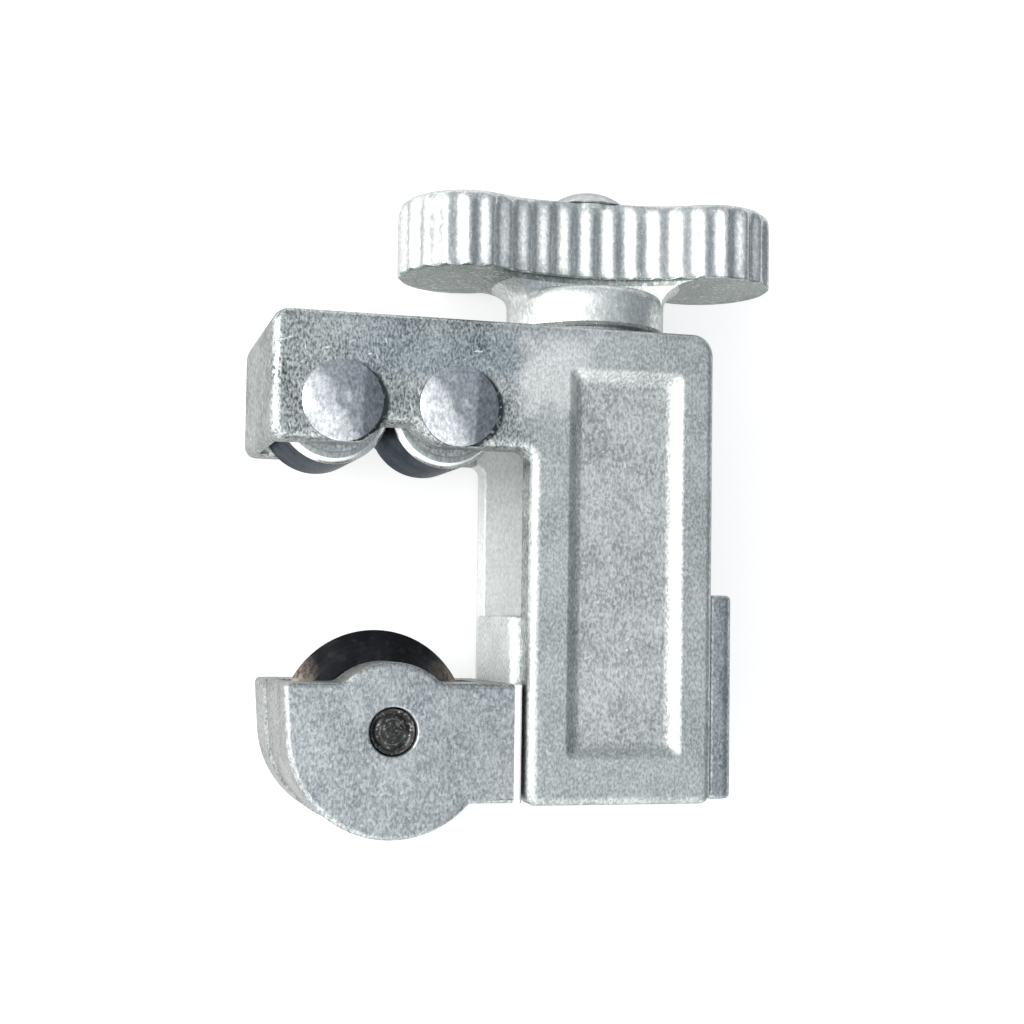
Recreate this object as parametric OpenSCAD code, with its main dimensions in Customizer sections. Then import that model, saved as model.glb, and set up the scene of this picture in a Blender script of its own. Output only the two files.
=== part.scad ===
/* [Frame] */
// Height of the frame, from the foot of the column to the top of the arm
frame_h = 43; // [41:0.5:48]
// Thickness of the frame, from its back face to its front face
frame_t = 18; // [17.2:0.1:20]
// Distance from the feed screw's axis to the free end of the arm
arm_reach = 31.4; // [30.8:0.1:34]
// Height of the arm, from its underside to its top
arm_h = 11.4; // [11:0.1:12.4]
// Width of the column, from the throat face to the rear face
column_w = 17.6; // [16.8:0.1:19]
// Distance from the feed screw's axis to the rear face of the column
rear_reach = 9.6; // [9:0.1:10.5]
// Width of the slot between the two cheeks
slot_w = 12; // [11.6:0.1:12.6]
// Thickness of the wall at the free end of the arm
end_wall = 0.8; // [0.6:0.05:1]
// Rounding of the outer edges
edge_r = 0.65; // [0.3:0.05:0.8]
// Rounding of the frame's big top corner
big_corner_r = 2; // [1.2:0.1:3]
// Rounding of the other corners of the frame's outline
small_corner_r = 0.9; // [0.85:0.05:1.2]

/* [Panel] */
// Width of the recessed panel in the column's front face
panel_w = 10.8; // [8:0.1:12]
// Height of the recessed panel
panel_h = 34.8; // [20:0.2:36]
// Depth of the recessed panel
panel_d = 0.9; // [0.3:0.05:1.2]
// Width of the panel's sloped walls
panel_slope = 1; // [0.4:0.05:1.4]

/* [Rollers] */
// Radius of each roller
roller_r = 5.1; // [4.8:0.02:5.12]
// Distance between the two roller axes
roller_pitch = 10.4; // [10.3:0.05:10.8]
// Distance from the top of the frame to the roller axes
roller_drop = 7.9; // [7.6:0.05:8.2]
// Length of each roller along its axis
roller_len = 10.4; // [9:0.1:10.6]
// Radius of the rivet shank that each roller turns on
rivet_r = 1.95; // [1.5:0.05:2.2]
// Radius of the domed rivet head
rivet_head_r = 3.4; // [2.8:0.1:3.8]
// Height of the domed rivet head
rivet_head_h = 1.3; // [0.8:0.1:1.8]

/* [Jaw] */
// Thickness of the jaw, from back to front
jaw_t = 16.6; // [15.6:0.1:17]
// Radius of the round lower part of the jaw, about the wheel pin
jaw_r = 9.4; // [9.35:0.05:10]
// Radius of the hump over the wheel pin
hump_r = 6.05; // [5:0.05:6.6]
// Distance from the wheel pin's axis up to the jaw's top edge
jaw_rise = 4.2; // [3.6:0.05:4.6]
// Distance from the wheel pin's axis down to the jaw's flat foot
jaw_foot = 6.3; // [5.6:0.05:6.8]
// Distance from the foot of the frame up to the wheel pin's axis at rest
pin_height = 6.55; // [6:0.05:7.2]
// How far the tongue in the slot stands above the jaw's top edge
tongue_rise = 6.1; // [5:0.1:6.8]
// How far the tongue stands out of the slot at the throat
tongue_proud = 0.9; // [0.7:0.05:1.2]
// Width of the flange behind the column, from back to front
flange_w = 14.4; // [13.6:0.1:15.6]
// Thickness of the flange behind the column
flange_t = 2.5; // [2:0.1:3.2]
// Height of the flange behind the column
flange_h = 18.8; // [17:0.1:20]

/* [Cutting wheel] */
// Radius of the cutting wheel
wheel_r = 8.8; // [8:0.05:8.8]
// Thickness of the wheel's disc inside its bevel
wheel_t = 2.8; // [2:0.1:3.6]
// Width of the bevel that leads to the cutting edge
bevel_w = 3; // [2:0.1:3.6]
// Radius of the wheel's hub
wheel_hub_r = 4; // [3.2:0.1:4.8]
// Radius of the wheel pin
pin_r = 2.12; // [1.8:0.02:2.4]

/* [Feed screw] */
// Outer radius of the feed screw
screw_r = 3; // [2.5:0.1:3.2]
// Lead of the feed screw, which the jaw moves in one turn
screw_pitch = 1; // [0.7:0.05:1.5]
// Distance from the foot of the frame up to the lower end of the screw
screw_foot = 2.2; // [1.6:0.1:3]
// Radius of the domed end that is riveted over the knob
dome_r = 3.9; // [3.2:0.1:4.4]
// Height of the domed end
dome_h = 1.6; // [0.8:0.1:1.8]

/* [Knob] */
// Angle that the knob's rear wing is turned towards the front at rest
knob_turn = 5.4; // [0:0.1:90]
// Distance from the screw's axis to the centre of each lobe
lobe_reach = 11.9; // [11:0.1:13.5]
// Radius of each lobe
lobe_r = 6.3; // [5:0.1:7]
// Half of the width of the knob's waist
waist_half = 3.3; // [3:0.1:4.5]
// Height of the knob's wings
wing_h = 7.2; // [6:0.1:8.5]
// Radius of the knob's round hub
hub_r = 7.5; // [6.4:0.1:8]
// Height of the knob's hub under the wings
hub_h = 5.1; // [4:0.1:6]
// Number of flutes round the knob's rim
flute_count = 42; // [36:2:56]
// Depth of the flutes
flute_d = 0.42; // [0.2:0.02:0.5]

/* [Hidden] */
$fn = 72;

// Overrun of every cut past the face that it opens
over = 1;
// Running clearance of a shaft in its hole, on the radius
run_gap = 0.05;
// Clearance of sliding faces, on each side
slide_gap = 0.06;
// Free gap between parts that must not touch
free_gap = 0.25;

// Places that the parts share: the screw's axis is the y axis, the back face lies on z = 0
mid_z = frame_t / 2;
front_z = frame_t;
foot_y = -frame_h / 2;
top_y = frame_h / 2;
rear_x = rear_reach;
throat_x = rear_reach - column_w;
arm_x = -arm_reach;
arm_y = top_y - arm_h;
cheek_t = (frame_t - slot_w) / 2;

// Rollers
roller_y = top_y - roller_drop;
roller_chamfer = 0.45;
rollers_mid_x = arm_x + end_wall + free_gap + roller_r + roller_pitch / 2;
roller_left_x = rollers_mid_x - roller_pitch / 2;
roller_right_x = rollers_mid_x + roller_pitch / 2;
roller_washer_r = 4.1;
roller_washer_t = (slot_w - roller_len) / 2 - 2 * run_gap;
rivet_sink_r = 3.1;
rivet_sink_h = 1.2;

// Channel for the rollers in the arm, and slot for the jaw in the column
channel_top = roller_y + roller_r + free_gap;
channel_end_x = roller_right_x + roller_r + free_gap;
slot_lead = 1.6;
slot_top = arm_y + slot_lead;
boss_bore_r = screw_r + run_gap;

// Notch in each cheek's lower edge between the two rollers
notch_top_half = 1.1;
notch_foot_half = 3.3;
notch_rise = 1.7;
notch_blend = 0.8;

// Recessed panel
panel_shift = 0.2;
panel_x = (throat_x + rear_x) / 2 + panel_shift;
panel_y = panel_shift;

// Jaw and the wheel pin
pin_x = rollers_mid_x;
pin_y = foot_y + pin_height;
jaw_left = 9.7;
left_angle = 180 - atan2(jaw_rise, jaw_left) + acos(jaw_r / norm([jaw_left, jaw_rise]));
jaw_gap = 0.6;
jaw_right_x = throat_x - jaw_gap;
jaw_right = jaw_right_x - pin_x;
hump_blend = 1.5;
hump_blend_y = jaw_rise + hump_blend;
hump_blend_x = sqrt(pow(hump_r + hump_blend, 2) - pow(hump_blend_y, 2));
wheel_gap = 0.15;
pocket_r = wheel_r + wheel_gap;
pocket_w = 5.8;
press_gap = 0.03;
pin_bore_r = pin_r + press_gap;
wheel_bore_r = pin_r + run_gap;
pin_sink = 0.35;
tongue_x = throat_x - tongue_proud;
tongue_w = slot_w - 2 * slide_gap;
tongue_top = pin_y + jaw_rise + tongue_rise;
tongue_lift = 0.5;
tongue_foot = pin_y - jaw_foot + tongue_lift;
tongue_front_r = 1;
tongue_back_r = 1.7;
flange_gap = 0.4;
flange_x = rear_x + flange_gap;
flange_foot = pin_y - jaw_foot;
flange_r = 1.2;
flange_front_r = 0.4;

// Cutting wheel
wheel_washer_t = 0.35;
wheel_hub_t = pocket_w - 2 * wheel_washer_t - 4 * run_gap;
wheel_washer_r = 4.2;
wheel_edge_t = 0.12;

// Feed screw, its clip under the boss and its stop in the jaw
thrust_washer_t = 0.6;
thrust_washer_r = 6.4;
clip_washer_t = 0.5;
clip_washer_r = 5.2;
clip_t = 0.7;
clip_r = 4.8;
clip_groove_r = 2.3;
clip_mouth = 3.4;
clip_gap = 0.04;
clip_top = slot_top - clip_washer_t - 2 * clip_gap;
square_half = 1.8;
square_gap = 0.04;
screw_foot_y = foot_y + screw_foot;
screw_chamfer = 0.4;
thread_depth_share = 0.5;
thread_flank_share = 0.3;
thread_crest_share = 0.2;
thread_root_r = screw_r - thread_depth_share * screw_pitch;
groove_foot = clip_top - clip_t - clip_gap;
stop_r = 3.7;
stop_neck_r = 2.2;
stop_t = 1.3;
stop_gap = 0.05;
stop_room = 0.15;
open_travel = 1.9;
neck_top = screw_foot_y + stop_t + stop_gap;
stop_bore_r = stop_r + free_gap;
stop_bore_top = screw_foot_y + stop_t + open_travel + stop_room;

// Knob
hub_foot = top_y + thrust_washer_t + clip_gap;
wing_foot = hub_foot + hub_h;
wing_top = wing_foot + wing_h;
rim_band = 0.9;
rim_foot_band = 0.35;
hub_shoulder = 1.3;
hub_flare_r = 1.9;
waist_r = (lobe_reach * lobe_reach + waist_half * waist_half - lobe_r * lobe_r)
          / (2 * (lobe_r - waist_half));
waist_y = waist_half + waist_r;
lobe_angle = 180 - atan2(waist_y, lobe_reach);
waist_angle = atan2(lobe_reach, waist_y);
lobe_len = 2 * lobe_angle * PI / 180 * lobe_r;
waist_len = 2 * waist_angle * PI / 180 * waist_r;
rim_len = 2 * (lobe_len + waist_len);
flute_steps = 4;

// Corners of the frame's outline, counter-clockwise: place and rounding
frame_corners = [
    [rear_x, foot_y, small_corner_r],
    [rear_x, top_y, big_corner_r],
    [arm_x, top_y, small_corner_r],
    [arm_x, arm_y, small_corner_r],
    [throat_x, arm_y, small_corner_r],
    [throat_x, foot_y, small_corner_r]
];

function place(c) = [c[0], c[1]];
function heading(a, b) = (place(b) - place(a)) / norm(place(b) - place(a));
function angle_of(d) = atan2(d[1], d[0]);
function turn_of(d, e) = d[0] * e[1] - d[1] * e[0];

// Cutter for a straight edge along +x: the body lies under it and on its -y side
module edge_bar(run, r) {
    difference() {
        translate([0, -r, -r]) cube([run, r + over, r + over]);
        translate([-over, -r, -r]) rotate([0, 90, 0]) cylinder(h = run + 2 * over, r = r);
    }
}

// Cutter for the rim of an outer corner with radius corner, over an angle
module edge_arc(corner, r, angle) {
    rotate_extrude(angle = angle) difference() {
        translate([corner - r, -r]) square([r + over, r + over]);
        translate([corner - r, -r]) circle(r = r);
    }
}

// Cutter for the rim of an inner corner with radius corner, over an angle
module edge_arc_inner(corner, r, angle) {
    rotate_extrude(angle = angle) difference() {
        translate([corner - min(over, corner), -r]) square([min(over, corner) + r, r + over]);
        translate([corner + r, -r]) circle(r = r);
    }
}

// Rounds the rim of a right-angled outline at z = 0, corner by corner
module outline_rim(corners, r) {
    count = len(corners);
    for (i = [0 : count - 1]) {
        here = corners[i];
        next = corners[(i + 1) % count];
        last = corners[(i + count - 1) % count];
        d_in = heading(last, here);
        d_out = heading(here, next);
        centre = place(here) + (d_out - d_in) * here[2];
        start = place(next) - d_out * next[2];
        run = norm(place(next) - place(here)) - here[2] - next[2];
        translate(start) rotate(angle_of(d_out) + 180) edge_bar(run, r);
        if (turn_of(d_in, d_out) > 0)
            translate(centre) rotate(angle_of(d_in) - 90) edge_arc(here[2], r, 90);
        else
            translate(centre) rotate(angle_of(d_in)) edge_arc_inner(here[2], r, 90);
    }
}

// Flat outline with its corners rounded
module rounded_outline(corners) {
    count = len(corners);
    difference() {
        union() {
            polygon([for (c = corners) place(c)]);
            for (i = [0 : count - 1]) {
                here = corners[i];
                d_in = heading(corners[(i + count - 1) % count], here);
                d_out = heading(here, corners[(i + 1) % count]);
                if (turn_of(d_in, d_out) < 0)
                    translate(place(here) + (d_out - d_in) * here[2]) rotate(angle_of(d_in))
                        difference() {
                            square(here[2]);
                            circle(r = here[2]);
                        }
            }
        }
        for (i = [0 : count - 1]) {
            here = corners[i];
            d_in = heading(corners[(i + count - 1) % count], here);
            d_out = heading(here, corners[(i + 1) % count]);
            if (turn_of(d_in, d_out) > 0)
                translate(place(here) + (d_out - d_in) * here[2]) rotate(angle_of(d_in) - 90)
                    difference() {
                        square(here[2] + over);
                        circle(r = here[2]);
                    }
        }
    }
}

// Pocket with four sloped walls, its mouth centred on the origin at z = 0
module sloped_pocket(w, h, d, slope) {
    lift = over * slope / d;
    intersection() {
        rotate([90, 0, 0]) translate([0, 0, -h]) linear_extrude(2 * h)
            polygon([[-w / 2 + slope, -d], [w / 2 - slope, -d], [w / 2 + lift, over], [-w / 2 - lift, over]]);
        rotate([90, 0, 90]) translate([0, 0, -w]) linear_extrude(2 * w)
            polygon([[-h / 2 + slope, -d], [h / 2 - slope, -d], [h / 2 + lift, over], [-h / 2 - lift, over]]);
    }
}

module frame() {
    color([0.72, 0.74, 0.73]) difference() {
        linear_extrude(frame_t) rounded_outline(frame_corners);
        translate([0, 0, front_z]) outline_rim(frame_corners, edge_r);
        mirror([0, 0, 1]) outline_rim(frame_corners, edge_r);
        // Channel in the arm, slot through the column
        translate([arm_x + end_wall, foot_y, cheek_t])
            cube([channel_end_x - arm_x - end_wall, channel_top - foot_y, slot_w]);
        translate([throat_x - over, foot_y - over, cheek_t])
            cube([column_w + 2 * over, slot_top - foot_y + over, slot_w]);
        translate([channel_end_x - over, arm_y - over, cheek_t])
            cube([throat_x - channel_end_x + 2 * over, slot_top - arm_y + over, slot_w]);
        // Notch between the rollers
        translate([rollers_mid_x, arm_y, -over]) linear_extrude(frame_t + 2 * over) roller_notch();
        // Bore for the feed screw
        translate([0, slot_top - over, mid_z]) rotate([-90, 0, 0])
            cylinder(h = top_y - slot_top + 2 * over, r = boss_bore_r);
        // Holes and countersinks for the two rivets
        for (x = [roller_left_x, roller_right_x]) translate([x, roller_y, 0]) {
            translate([0, 0, -over]) cylinder(h = frame_t + 2 * over, r = rivet_r + run_gap);
            rivet_tail(run_gap);
        }
        translate([panel_x, panel_y, front_z]) sloped_pocket(panel_w, panel_h, panel_d, panel_slope);
    }
}

module roller_notch() {
    blend = notch_blend;
    union() {
        polygon([
            [-notch_foot_half, -over], [notch_foot_half, -over], [notch_foot_half, 0],
            [notch_top_half + blend, notch_rise - blend], [notch_top_half, notch_rise],
            [-notch_top_half, notch_rise], [-notch_top_half - blend, notch_rise - blend],
            [-notch_foot_half, 0]
        ]);
        for (side = [-1, 1])
            translate([side * notch_top_half, notch_rise - blend]) circle(r = blend);
    }
}

// Formed tail of a rivet, flush with the frame's back face
module rivet_tail(gap) {
    rotate_extrude() polygon([
        [0, gap > 0 ? -over : 0],
        [rivet_sink_r + gap, gap > 0 ? -over : 0],
        [rivet_sink_r + gap, 0],
        [rivet_r + gap, rivet_sink_h],
        [0, rivet_sink_h]
    ]);
}

module roller_rivet(x) {
    dome_ball_r = (rivet_head_r * rivet_head_r + rivet_head_h * rivet_head_h) / (2 * rivet_head_h);
    color([0.66, 0.68, 0.7]) translate([x, roller_y, 0]) {
        rivet_tail(0);
        cylinder(h = front_z, r = rivet_r);
        translate([0, 0, front_z]) intersection() {
            translate([0, 0, rivet_head_h - dome_ball_r]) sphere(r = dome_ball_r);
            cylinder(h = rivet_head_h, r = rivet_head_r);
        }
    }
}

module roller(x) {
    color([0.38, 0.42, 0.46]) translate([x, roller_y, mid_z - roller_len / 2])
        rotate_extrude() polygon([
            [rivet_r + run_gap, 0], [roller_r - roller_chamfer, 0], [roller_r, roller_chamfer],
            [roller_r, roller_len - roller_chamfer], [roller_r - roller_chamfer, roller_len],
            [rivet_r + run_gap, roller_len]
        ]);
}

module washer(outer, inner, t) {
    difference() {
        cylinder(h = t, r = outer);
        translate([0, 0, -over]) cylinder(h = t + 2 * over, r = inner);
    }
}

module roller_washers(x) {
    color([0.6, 0.62, 0.64]) for (z = [cheek_t + run_gap, frame_t - cheek_t - run_gap - roller_washer_t])
        translate([x, roller_y, z]) washer(roller_washer_r, rivet_r + run_gap, roller_washer_t);
}

// Outline of the jaw about the wheel pin
module jaw_outline() {
    difference() {
        union() {
            difference() {
                circle(r = jaw_r);
                translate([-jaw_r - over, jaw_rise]) square([2 * jaw_r + 2 * over, jaw_r]);
            }
            polygon([
                [-jaw_left, jaw_rise], jaw_r * [cos(left_angle), sin(left_angle)], [0, -jaw_foot],
                [jaw_right, -jaw_foot], [jaw_right, jaw_rise]
            ]);
            circle(r = hump_r);
            polygon([
                [-hump_blend_x, 0], [hump_blend_x, 0],
                [hump_blend_x, hump_blend_y],
                [hump_blend_x, hump_blend_y] * hump_r / (hump_r + hump_blend),
                [-hump_blend_x, hump_blend_y] * hump_r / (hump_r + hump_blend),
                [-hump_blend_x, hump_blend_y]
            ]);
        }
        for (side = [-1, 1])
            translate([side * hump_blend_x, hump_blend_y]) circle(r = hump_blend);
    }
}

// Bar with all of its long edges rounded, seen along y and along z
module flange() {
    intersection() {
        translate([flange_x, flange_foot, mid_z - flange_w / 2]) linear_extrude(flange_w)
            rounded_outline([
                [0, 0, flange_front_r], [flange_t, 0, flange_r], [flange_t, flange_h, flange_r],
                [0, flange_h, flange_front_r]
            ]);
        translate([flange_x, flange_foot - over, mid_z]) rotate([-90, 0, 0]) linear_extrude(flange_h + 2 * over)
            rounded_outline([
                [0, -flange_w / 2, flange_front_r], [flange_t, -flange_w / 2, flange_r],
                [flange_t, flange_w / 2, flange_r], [0, flange_w / 2, flange_front_r]
            ]);
    }
}

// Tongue that fills the column's slot, its corners rounded at the throat
module tongue() {
    translate([0, tongue_foot, 0]) rotate([-90, 0, 0]) mirror([0, 1, 0])
        linear_extrude(tongue_top - tongue_foot) difference() {
            translate([tongue_x, mid_z - tongue_w / 2])
                square([flange_x + flange_t / 2 - tongue_x, tongue_w]);
            translate([tongue_x + tongue_front_r, mid_z + tongue_w / 2 - tongue_front_r])
                rotate(90) difference() {
                    square(tongue_front_r + over);
                    circle(r = tongue_front_r);
                }
            translate([tongue_x + tongue_back_r, mid_z - tongue_w / 2 + tongue_back_r])
                rotate(180) difference() {
                    square(tongue_back_r + over);
                    circle(r = tongue_back_r);
                }
        }
}

module jaw() {
    color([0.7, 0.72, 0.71]) difference() {
        union() {
            translate([pin_x, pin_y, mid_z - jaw_t / 2]) linear_extrude(jaw_t) jaw_outline();
            tongue();
            flange();
        }
        // Pocket for the wheel, open at the top
        translate([pin_x, pin_y, mid_z - pocket_w / 2]) {
            cylinder(h = pocket_w, r = pocket_r);
            translate([-pocket_r, 0, 0]) cube([2 * pocket_r, pocket_r + over, pocket_w]);
        }
        translate([pin_x, pin_y, -over]) cylinder(h = frame_t + 2 * over, r = pin_bore_r);
        // Thread hole for the feed screw, with room for the stop below
        translate([0, tongue_foot - over, mid_z]) rotate([-90, 0, 0]) {
            cylinder(h = tongue_top - tongue_foot + 2 * over, r = screw_r + run_gap);
            cylinder(h = stop_bore_top - tongue_foot + over, r = stop_bore_r);
        }
    }
}

module cutter_wheel() {
    color([0.12, 0.12, 0.12]) translate([pin_x, pin_y, mid_z]) rotate_extrude() polygon([
        [wheel_bore_r, -wheel_hub_t / 2], [wheel_hub_r, -wheel_hub_t / 2], [wheel_hub_r, -wheel_t / 2],
        [wheel_r - bevel_w, -wheel_t / 2], [wheel_r, -wheel_edge_t / 2], [wheel_r, wheel_edge_t / 2],
        [wheel_r - bevel_w, wheel_t / 2], [wheel_hub_r, wheel_t / 2], [wheel_hub_r, wheel_hub_t / 2],
        [wheel_bore_r, wheel_hub_t / 2]
    ]);
}

module wheel_pin() {
    color([0.1, 0.1, 0.11]) translate([pin_x, pin_y, mid_z - jaw_t / 2 + pin_sink])
        cylinder(h = jaw_t - 2 * pin_sink, r = pin_r);
}

module wheel_washer(side) {
    gap = pocket_w / 2 - run_gap - wheel_washer_t / 2;
    color([0.55, 0.57, 0.6]) translate([pin_x, pin_y, mid_z + side * gap - wheel_washer_t / 2])
        washer(wheel_washer_r, wheel_bore_r, wheel_washer_t);
}

// Rings of thread on a core, from z = 0 up to a run
module thread(run) {
    flank = thread_flank_share * screw_pitch;
    crest = thread_crest_share * screw_pitch;
    count = floor((run - screw_pitch) / screw_pitch);
    rotate_extrude() polygon([
        [0, 0],
        [thread_root_r, 0],
        for (i = [0 : count - 1])
            for (point = [[thread_root_r, 0], [screw_r, flank], [screw_r, flank + crest],
                          [thread_root_r, 2 * flank + crest]])
                point + [0, (i + thread_crest_share) * screw_pitch],
        [thread_root_r, run],
        [0, run]
    ]);
}

// Screw along y: square and riveted dome on top, journal in the boss, thread below
module feed_screw() {
    dome_ball_r = (dome_r * dome_r + dome_h * dome_h) / (2 * dome_h);
    journal_foot = groove_foot - screw_chamfer;
    color([0.6, 0.62, 0.63]) translate([0, 0, mid_z]) rotate([-90, 0, 0]) {
        difference() {
            translate([0, 0, screw_foot_y]) union() {
                cylinder(h = neck_top - screw_foot_y, r = stop_neck_r);
                translate([0, 0, neck_top - screw_foot_y]) thread(journal_foot - neck_top);
                translate([0, 0, journal_foot - screw_foot_y])
                    cylinder(h = hub_foot - journal_foot, r = screw_r);
            }
            translate([0, 0, groove_foot])
                washer(screw_r + over, clip_groove_r, clip_top - groove_foot + clip_gap);
        }
        rotate(-knob_turn) translate([-square_half, -square_half, hub_foot - over])
            cube([2 * square_half, 2 * square_half, wing_top - hub_foot + over + dome_h / 2]);
        translate([0, 0, wing_top + clip_gap]) intersection() {
            translate([0, 0, dome_h - dome_ball_r]) sphere(r = dome_ball_r);
            cylinder(h = dome_h, r = dome_r);
        }
    }
}

module screw_stop() {
    color([0.55, 0.56, 0.58]) translate([0, screw_foot_y, mid_z]) rotate([-90, 0, 0])
        washer(stop_r, stop_neck_r + run_gap, stop_t);
}

module thrust_washer() {
    color([0.62, 0.62, 0.6]) translate([0, top_y + clip_gap / 2, mid_z]) rotate([-90, 0, 0])
        washer(thrust_washer_r, screw_r + run_gap, thrust_washer_t);
}

module clip_washer() {
    color([0.62, 0.62, 0.6]) translate([0, slot_top - clip_gap - clip_washer_t, mid_z]) rotate([-90, 0, 0])
        washer(clip_washer_r, screw_r + run_gap, clip_washer_t);
}

// Open ring in the screw's groove
module retaining_clip() {
    color([0.3, 0.3, 0.32]) translate([0, clip_top - clip_t, mid_z]) rotate([-90, 0, 0]) difference() {
        washer(clip_r, clip_groove_r + run_gap, clip_t);
        translate([0, -clip_mouth / 2, -over]) cube([clip_r + over, clip_mouth, clip_t + 2 * over]);
    }
}

// Point on the knob's plain rim at a run along it, with its outward direction
function rim_point(run, raise) =
    run < lobe_len ? lobe_point(lobe_reach, -lobe_angle + run / lobe_r * 180 / PI, raise) :
    run < lobe_len + waist_len ? waist_point(1, waist_angle - (run - lobe_len) / waist_r * 180 / PI, raise) :
    -rim_point(run - lobe_len - waist_len, raise);
function lobe_point(reach, angle, raise) =
    [reach, 0] + (lobe_r + raise) * [cos(angle), sin(angle)];
function waist_point(side, angle, raise) =
    [0, side * waist_y] + (waist_r - raise) * [sin(angle), -side * cos(angle)];

// Outline of the knob's rim: flutes of a given depth, cut back by inset
module rim_outline(depth, inset) {
    count = flute_count * flute_steps;
    polygon([for (i = [0 : count - 1])
        rim_point(rim_len * i / count, -inset - depth * (1 + cos(360 * i / flute_steps)) / 2)]);
}

module knob() {
    color([0.75, 0.77, 0.76]) translate([0, 0, mid_z]) rotate([-90, 0, 0]) rotate(-knob_turn) difference() {
        union() {
            translate([0, 0, wing_foot]) linear_extrude(wing_h) rim_outline(0, flute_d);
            translate([0, 0, wing_foot + rim_foot_band]) linear_extrude(wing_h - rim_band - rim_foot_band)
                rim_outline(flute_d, 0);
            translate([0, 0, hub_foot]) cylinder(h = hub_h - hub_shoulder, r = hub_r);
            intersection() {
                translate([0, 0, wing_foot - hub_flare_r]) rotate_extrude() difference() {
                    square([hub_r + hub_flare_r, hub_flare_r + rim_foot_band]);
                    translate([hub_r + hub_flare_r, 0]) circle(r = hub_flare_r);
                }
                translate([0, 0, hub_foot]) linear_extrude(hub_h + wing_h) rim_outline(0, flute_d);
            }
        }
        translate([-square_half - square_gap, -square_half - square_gap, hub_foot - over])
            cube([2 * (square_half + square_gap), 2 * (square_half + square_gap), wing_top - hub_foot + 2 * over]);
    }
}

frame();
roller(roller_left_x);  // roller_left
roller(roller_right_x);  // roller_right
roller_rivet(roller_left_x);  // roller_rivet_left
roller_rivet(roller_right_x);  // roller_rivet_right
roller_washers(roller_left_x);  // roller_washers_left
roller_washers(roller_right_x);  // roller_washers_right
jaw();
cutter_wheel();
wheel_pin();
wheel_washer(1);  // wheel_washer_front
wheel_washer(-1);  // wheel_washer_back
feed_screw();
knob();
thrust_washer();
clip_washer();
retaining_clip();
screw_stop();
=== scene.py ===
import bpy
import bmesh
from math import acos, atan2, cos, degrees, hypot, pi, radians, sin, sqrt, tan
from mathutils import Euler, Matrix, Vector
from types import SimpleNamespace as Names


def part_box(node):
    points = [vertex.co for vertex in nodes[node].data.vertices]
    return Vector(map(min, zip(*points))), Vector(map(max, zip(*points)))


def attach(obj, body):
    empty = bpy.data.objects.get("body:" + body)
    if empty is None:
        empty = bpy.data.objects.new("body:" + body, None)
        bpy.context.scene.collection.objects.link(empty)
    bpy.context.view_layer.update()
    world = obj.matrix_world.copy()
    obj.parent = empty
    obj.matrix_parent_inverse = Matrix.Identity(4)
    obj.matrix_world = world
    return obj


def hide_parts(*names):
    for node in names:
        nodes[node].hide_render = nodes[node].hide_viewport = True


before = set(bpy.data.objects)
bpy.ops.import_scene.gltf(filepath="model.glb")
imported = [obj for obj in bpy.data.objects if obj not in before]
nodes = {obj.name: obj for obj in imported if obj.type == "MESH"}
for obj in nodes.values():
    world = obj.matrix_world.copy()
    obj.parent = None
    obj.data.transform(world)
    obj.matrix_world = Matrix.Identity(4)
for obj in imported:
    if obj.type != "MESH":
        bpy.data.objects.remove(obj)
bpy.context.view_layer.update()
mm = 0.001  # one millimetre in scene units

# Places that the pieces share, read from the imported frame
bodyLow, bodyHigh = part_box("frame")
jawLow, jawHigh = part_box("jaw")
wheelLow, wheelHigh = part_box("cutter_wheel")
rollerLow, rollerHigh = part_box("roller_left")
cadLowest = min(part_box(name)[0].z for name in nodes)
midZ = (bodyLow.z + bodyHigh.z) / 2
wheelAxis = (wheelLow + wheelHigh) / 2
wheelRadius = (wheelHigh.x - wheelLow.x) / 2
rollerRadius = (rollerHigh.x - rollerLow.x) / 2
rollerNames = ("roller_left", "roller_right")


def rollerAxis(node):
    low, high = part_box(node)
    return (low + high) / 2


def inScene(value):
    # Millimetres to scene units, for one length or for several
    return tuple(inScene(each) for each in value) if isinstance(value, tuple) else value * mm


def sized(values):
    # Lengths become scene units; shares, turns, powers and counts stay as they are
    plain = ("Share", "Turn", "Power", "Count", "Steps")
    return Names(**{name: value if name.endswith(plain) else inScene(value)
                    for name, value in values.items()})


# Small helpers for modelling, and how closely they look
care = sized({"near": 0.02, "merge": 0.0005, "degenerate": 0.0002, "flatMerge": 0.002, "flatTurn": 0.4})


def deselectAll():
    for each in list(bpy.context.selected_objects):
        each.select_set(False)


def makeActive(piece):
    deselectAll()
    piece.select_set(True)
    bpy.context.view_layer.objects.active = piece


def startEdit(piece, mode="VERT"):
    makeActive(piece)
    bpy.ops.object.mode_set(mode="EDIT")
    bpy.ops.mesh.select_mode(type=mode)
    bpy.ops.mesh.select_all(action="SELECT")


def endEdit():
    bpy.ops.object.mode_set(mode="OBJECT")


def faceOutwards(piece):
    startEdit(piece, "FACE")
    bpy.ops.mesh.normals_make_consistent(inside=False)
    endEdit()


def near(value, target):
    return abs(value - target) < care.near


def isSharp(edge, least=20):
    return len(edge.link_faces) == 2 and edge.calc_face_angle(0) > radians(least)


def onLevels(*levels, axis="z", least=20):
    # A rule that picks the sharp edges lying in one of the levels
    def rule(start, end, edge):
        places = getattr(start, axis), getattr(end, axis)
        return isSharp(edge, least) and any(all(near(place, level) for place in places) for level in levels)

    return rule


def pickEdges(piece, rule):
    # Selects only the edges that pass the rule and says how many they are; edit mode is on
    bpy.ops.mesh.select_all(action="DESELECT")
    work = bmesh.from_edit_mesh(piece.data)
    found = [edge for edge in work.edges if rule(edge.verts[0].co, edge.verts[1].co, edge)]
    for edge in found:
        edge.select_set(True)
    work.select_flush_mode()
    bmesh.update_edit_mesh(piece.data)
    return len(found)


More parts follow.
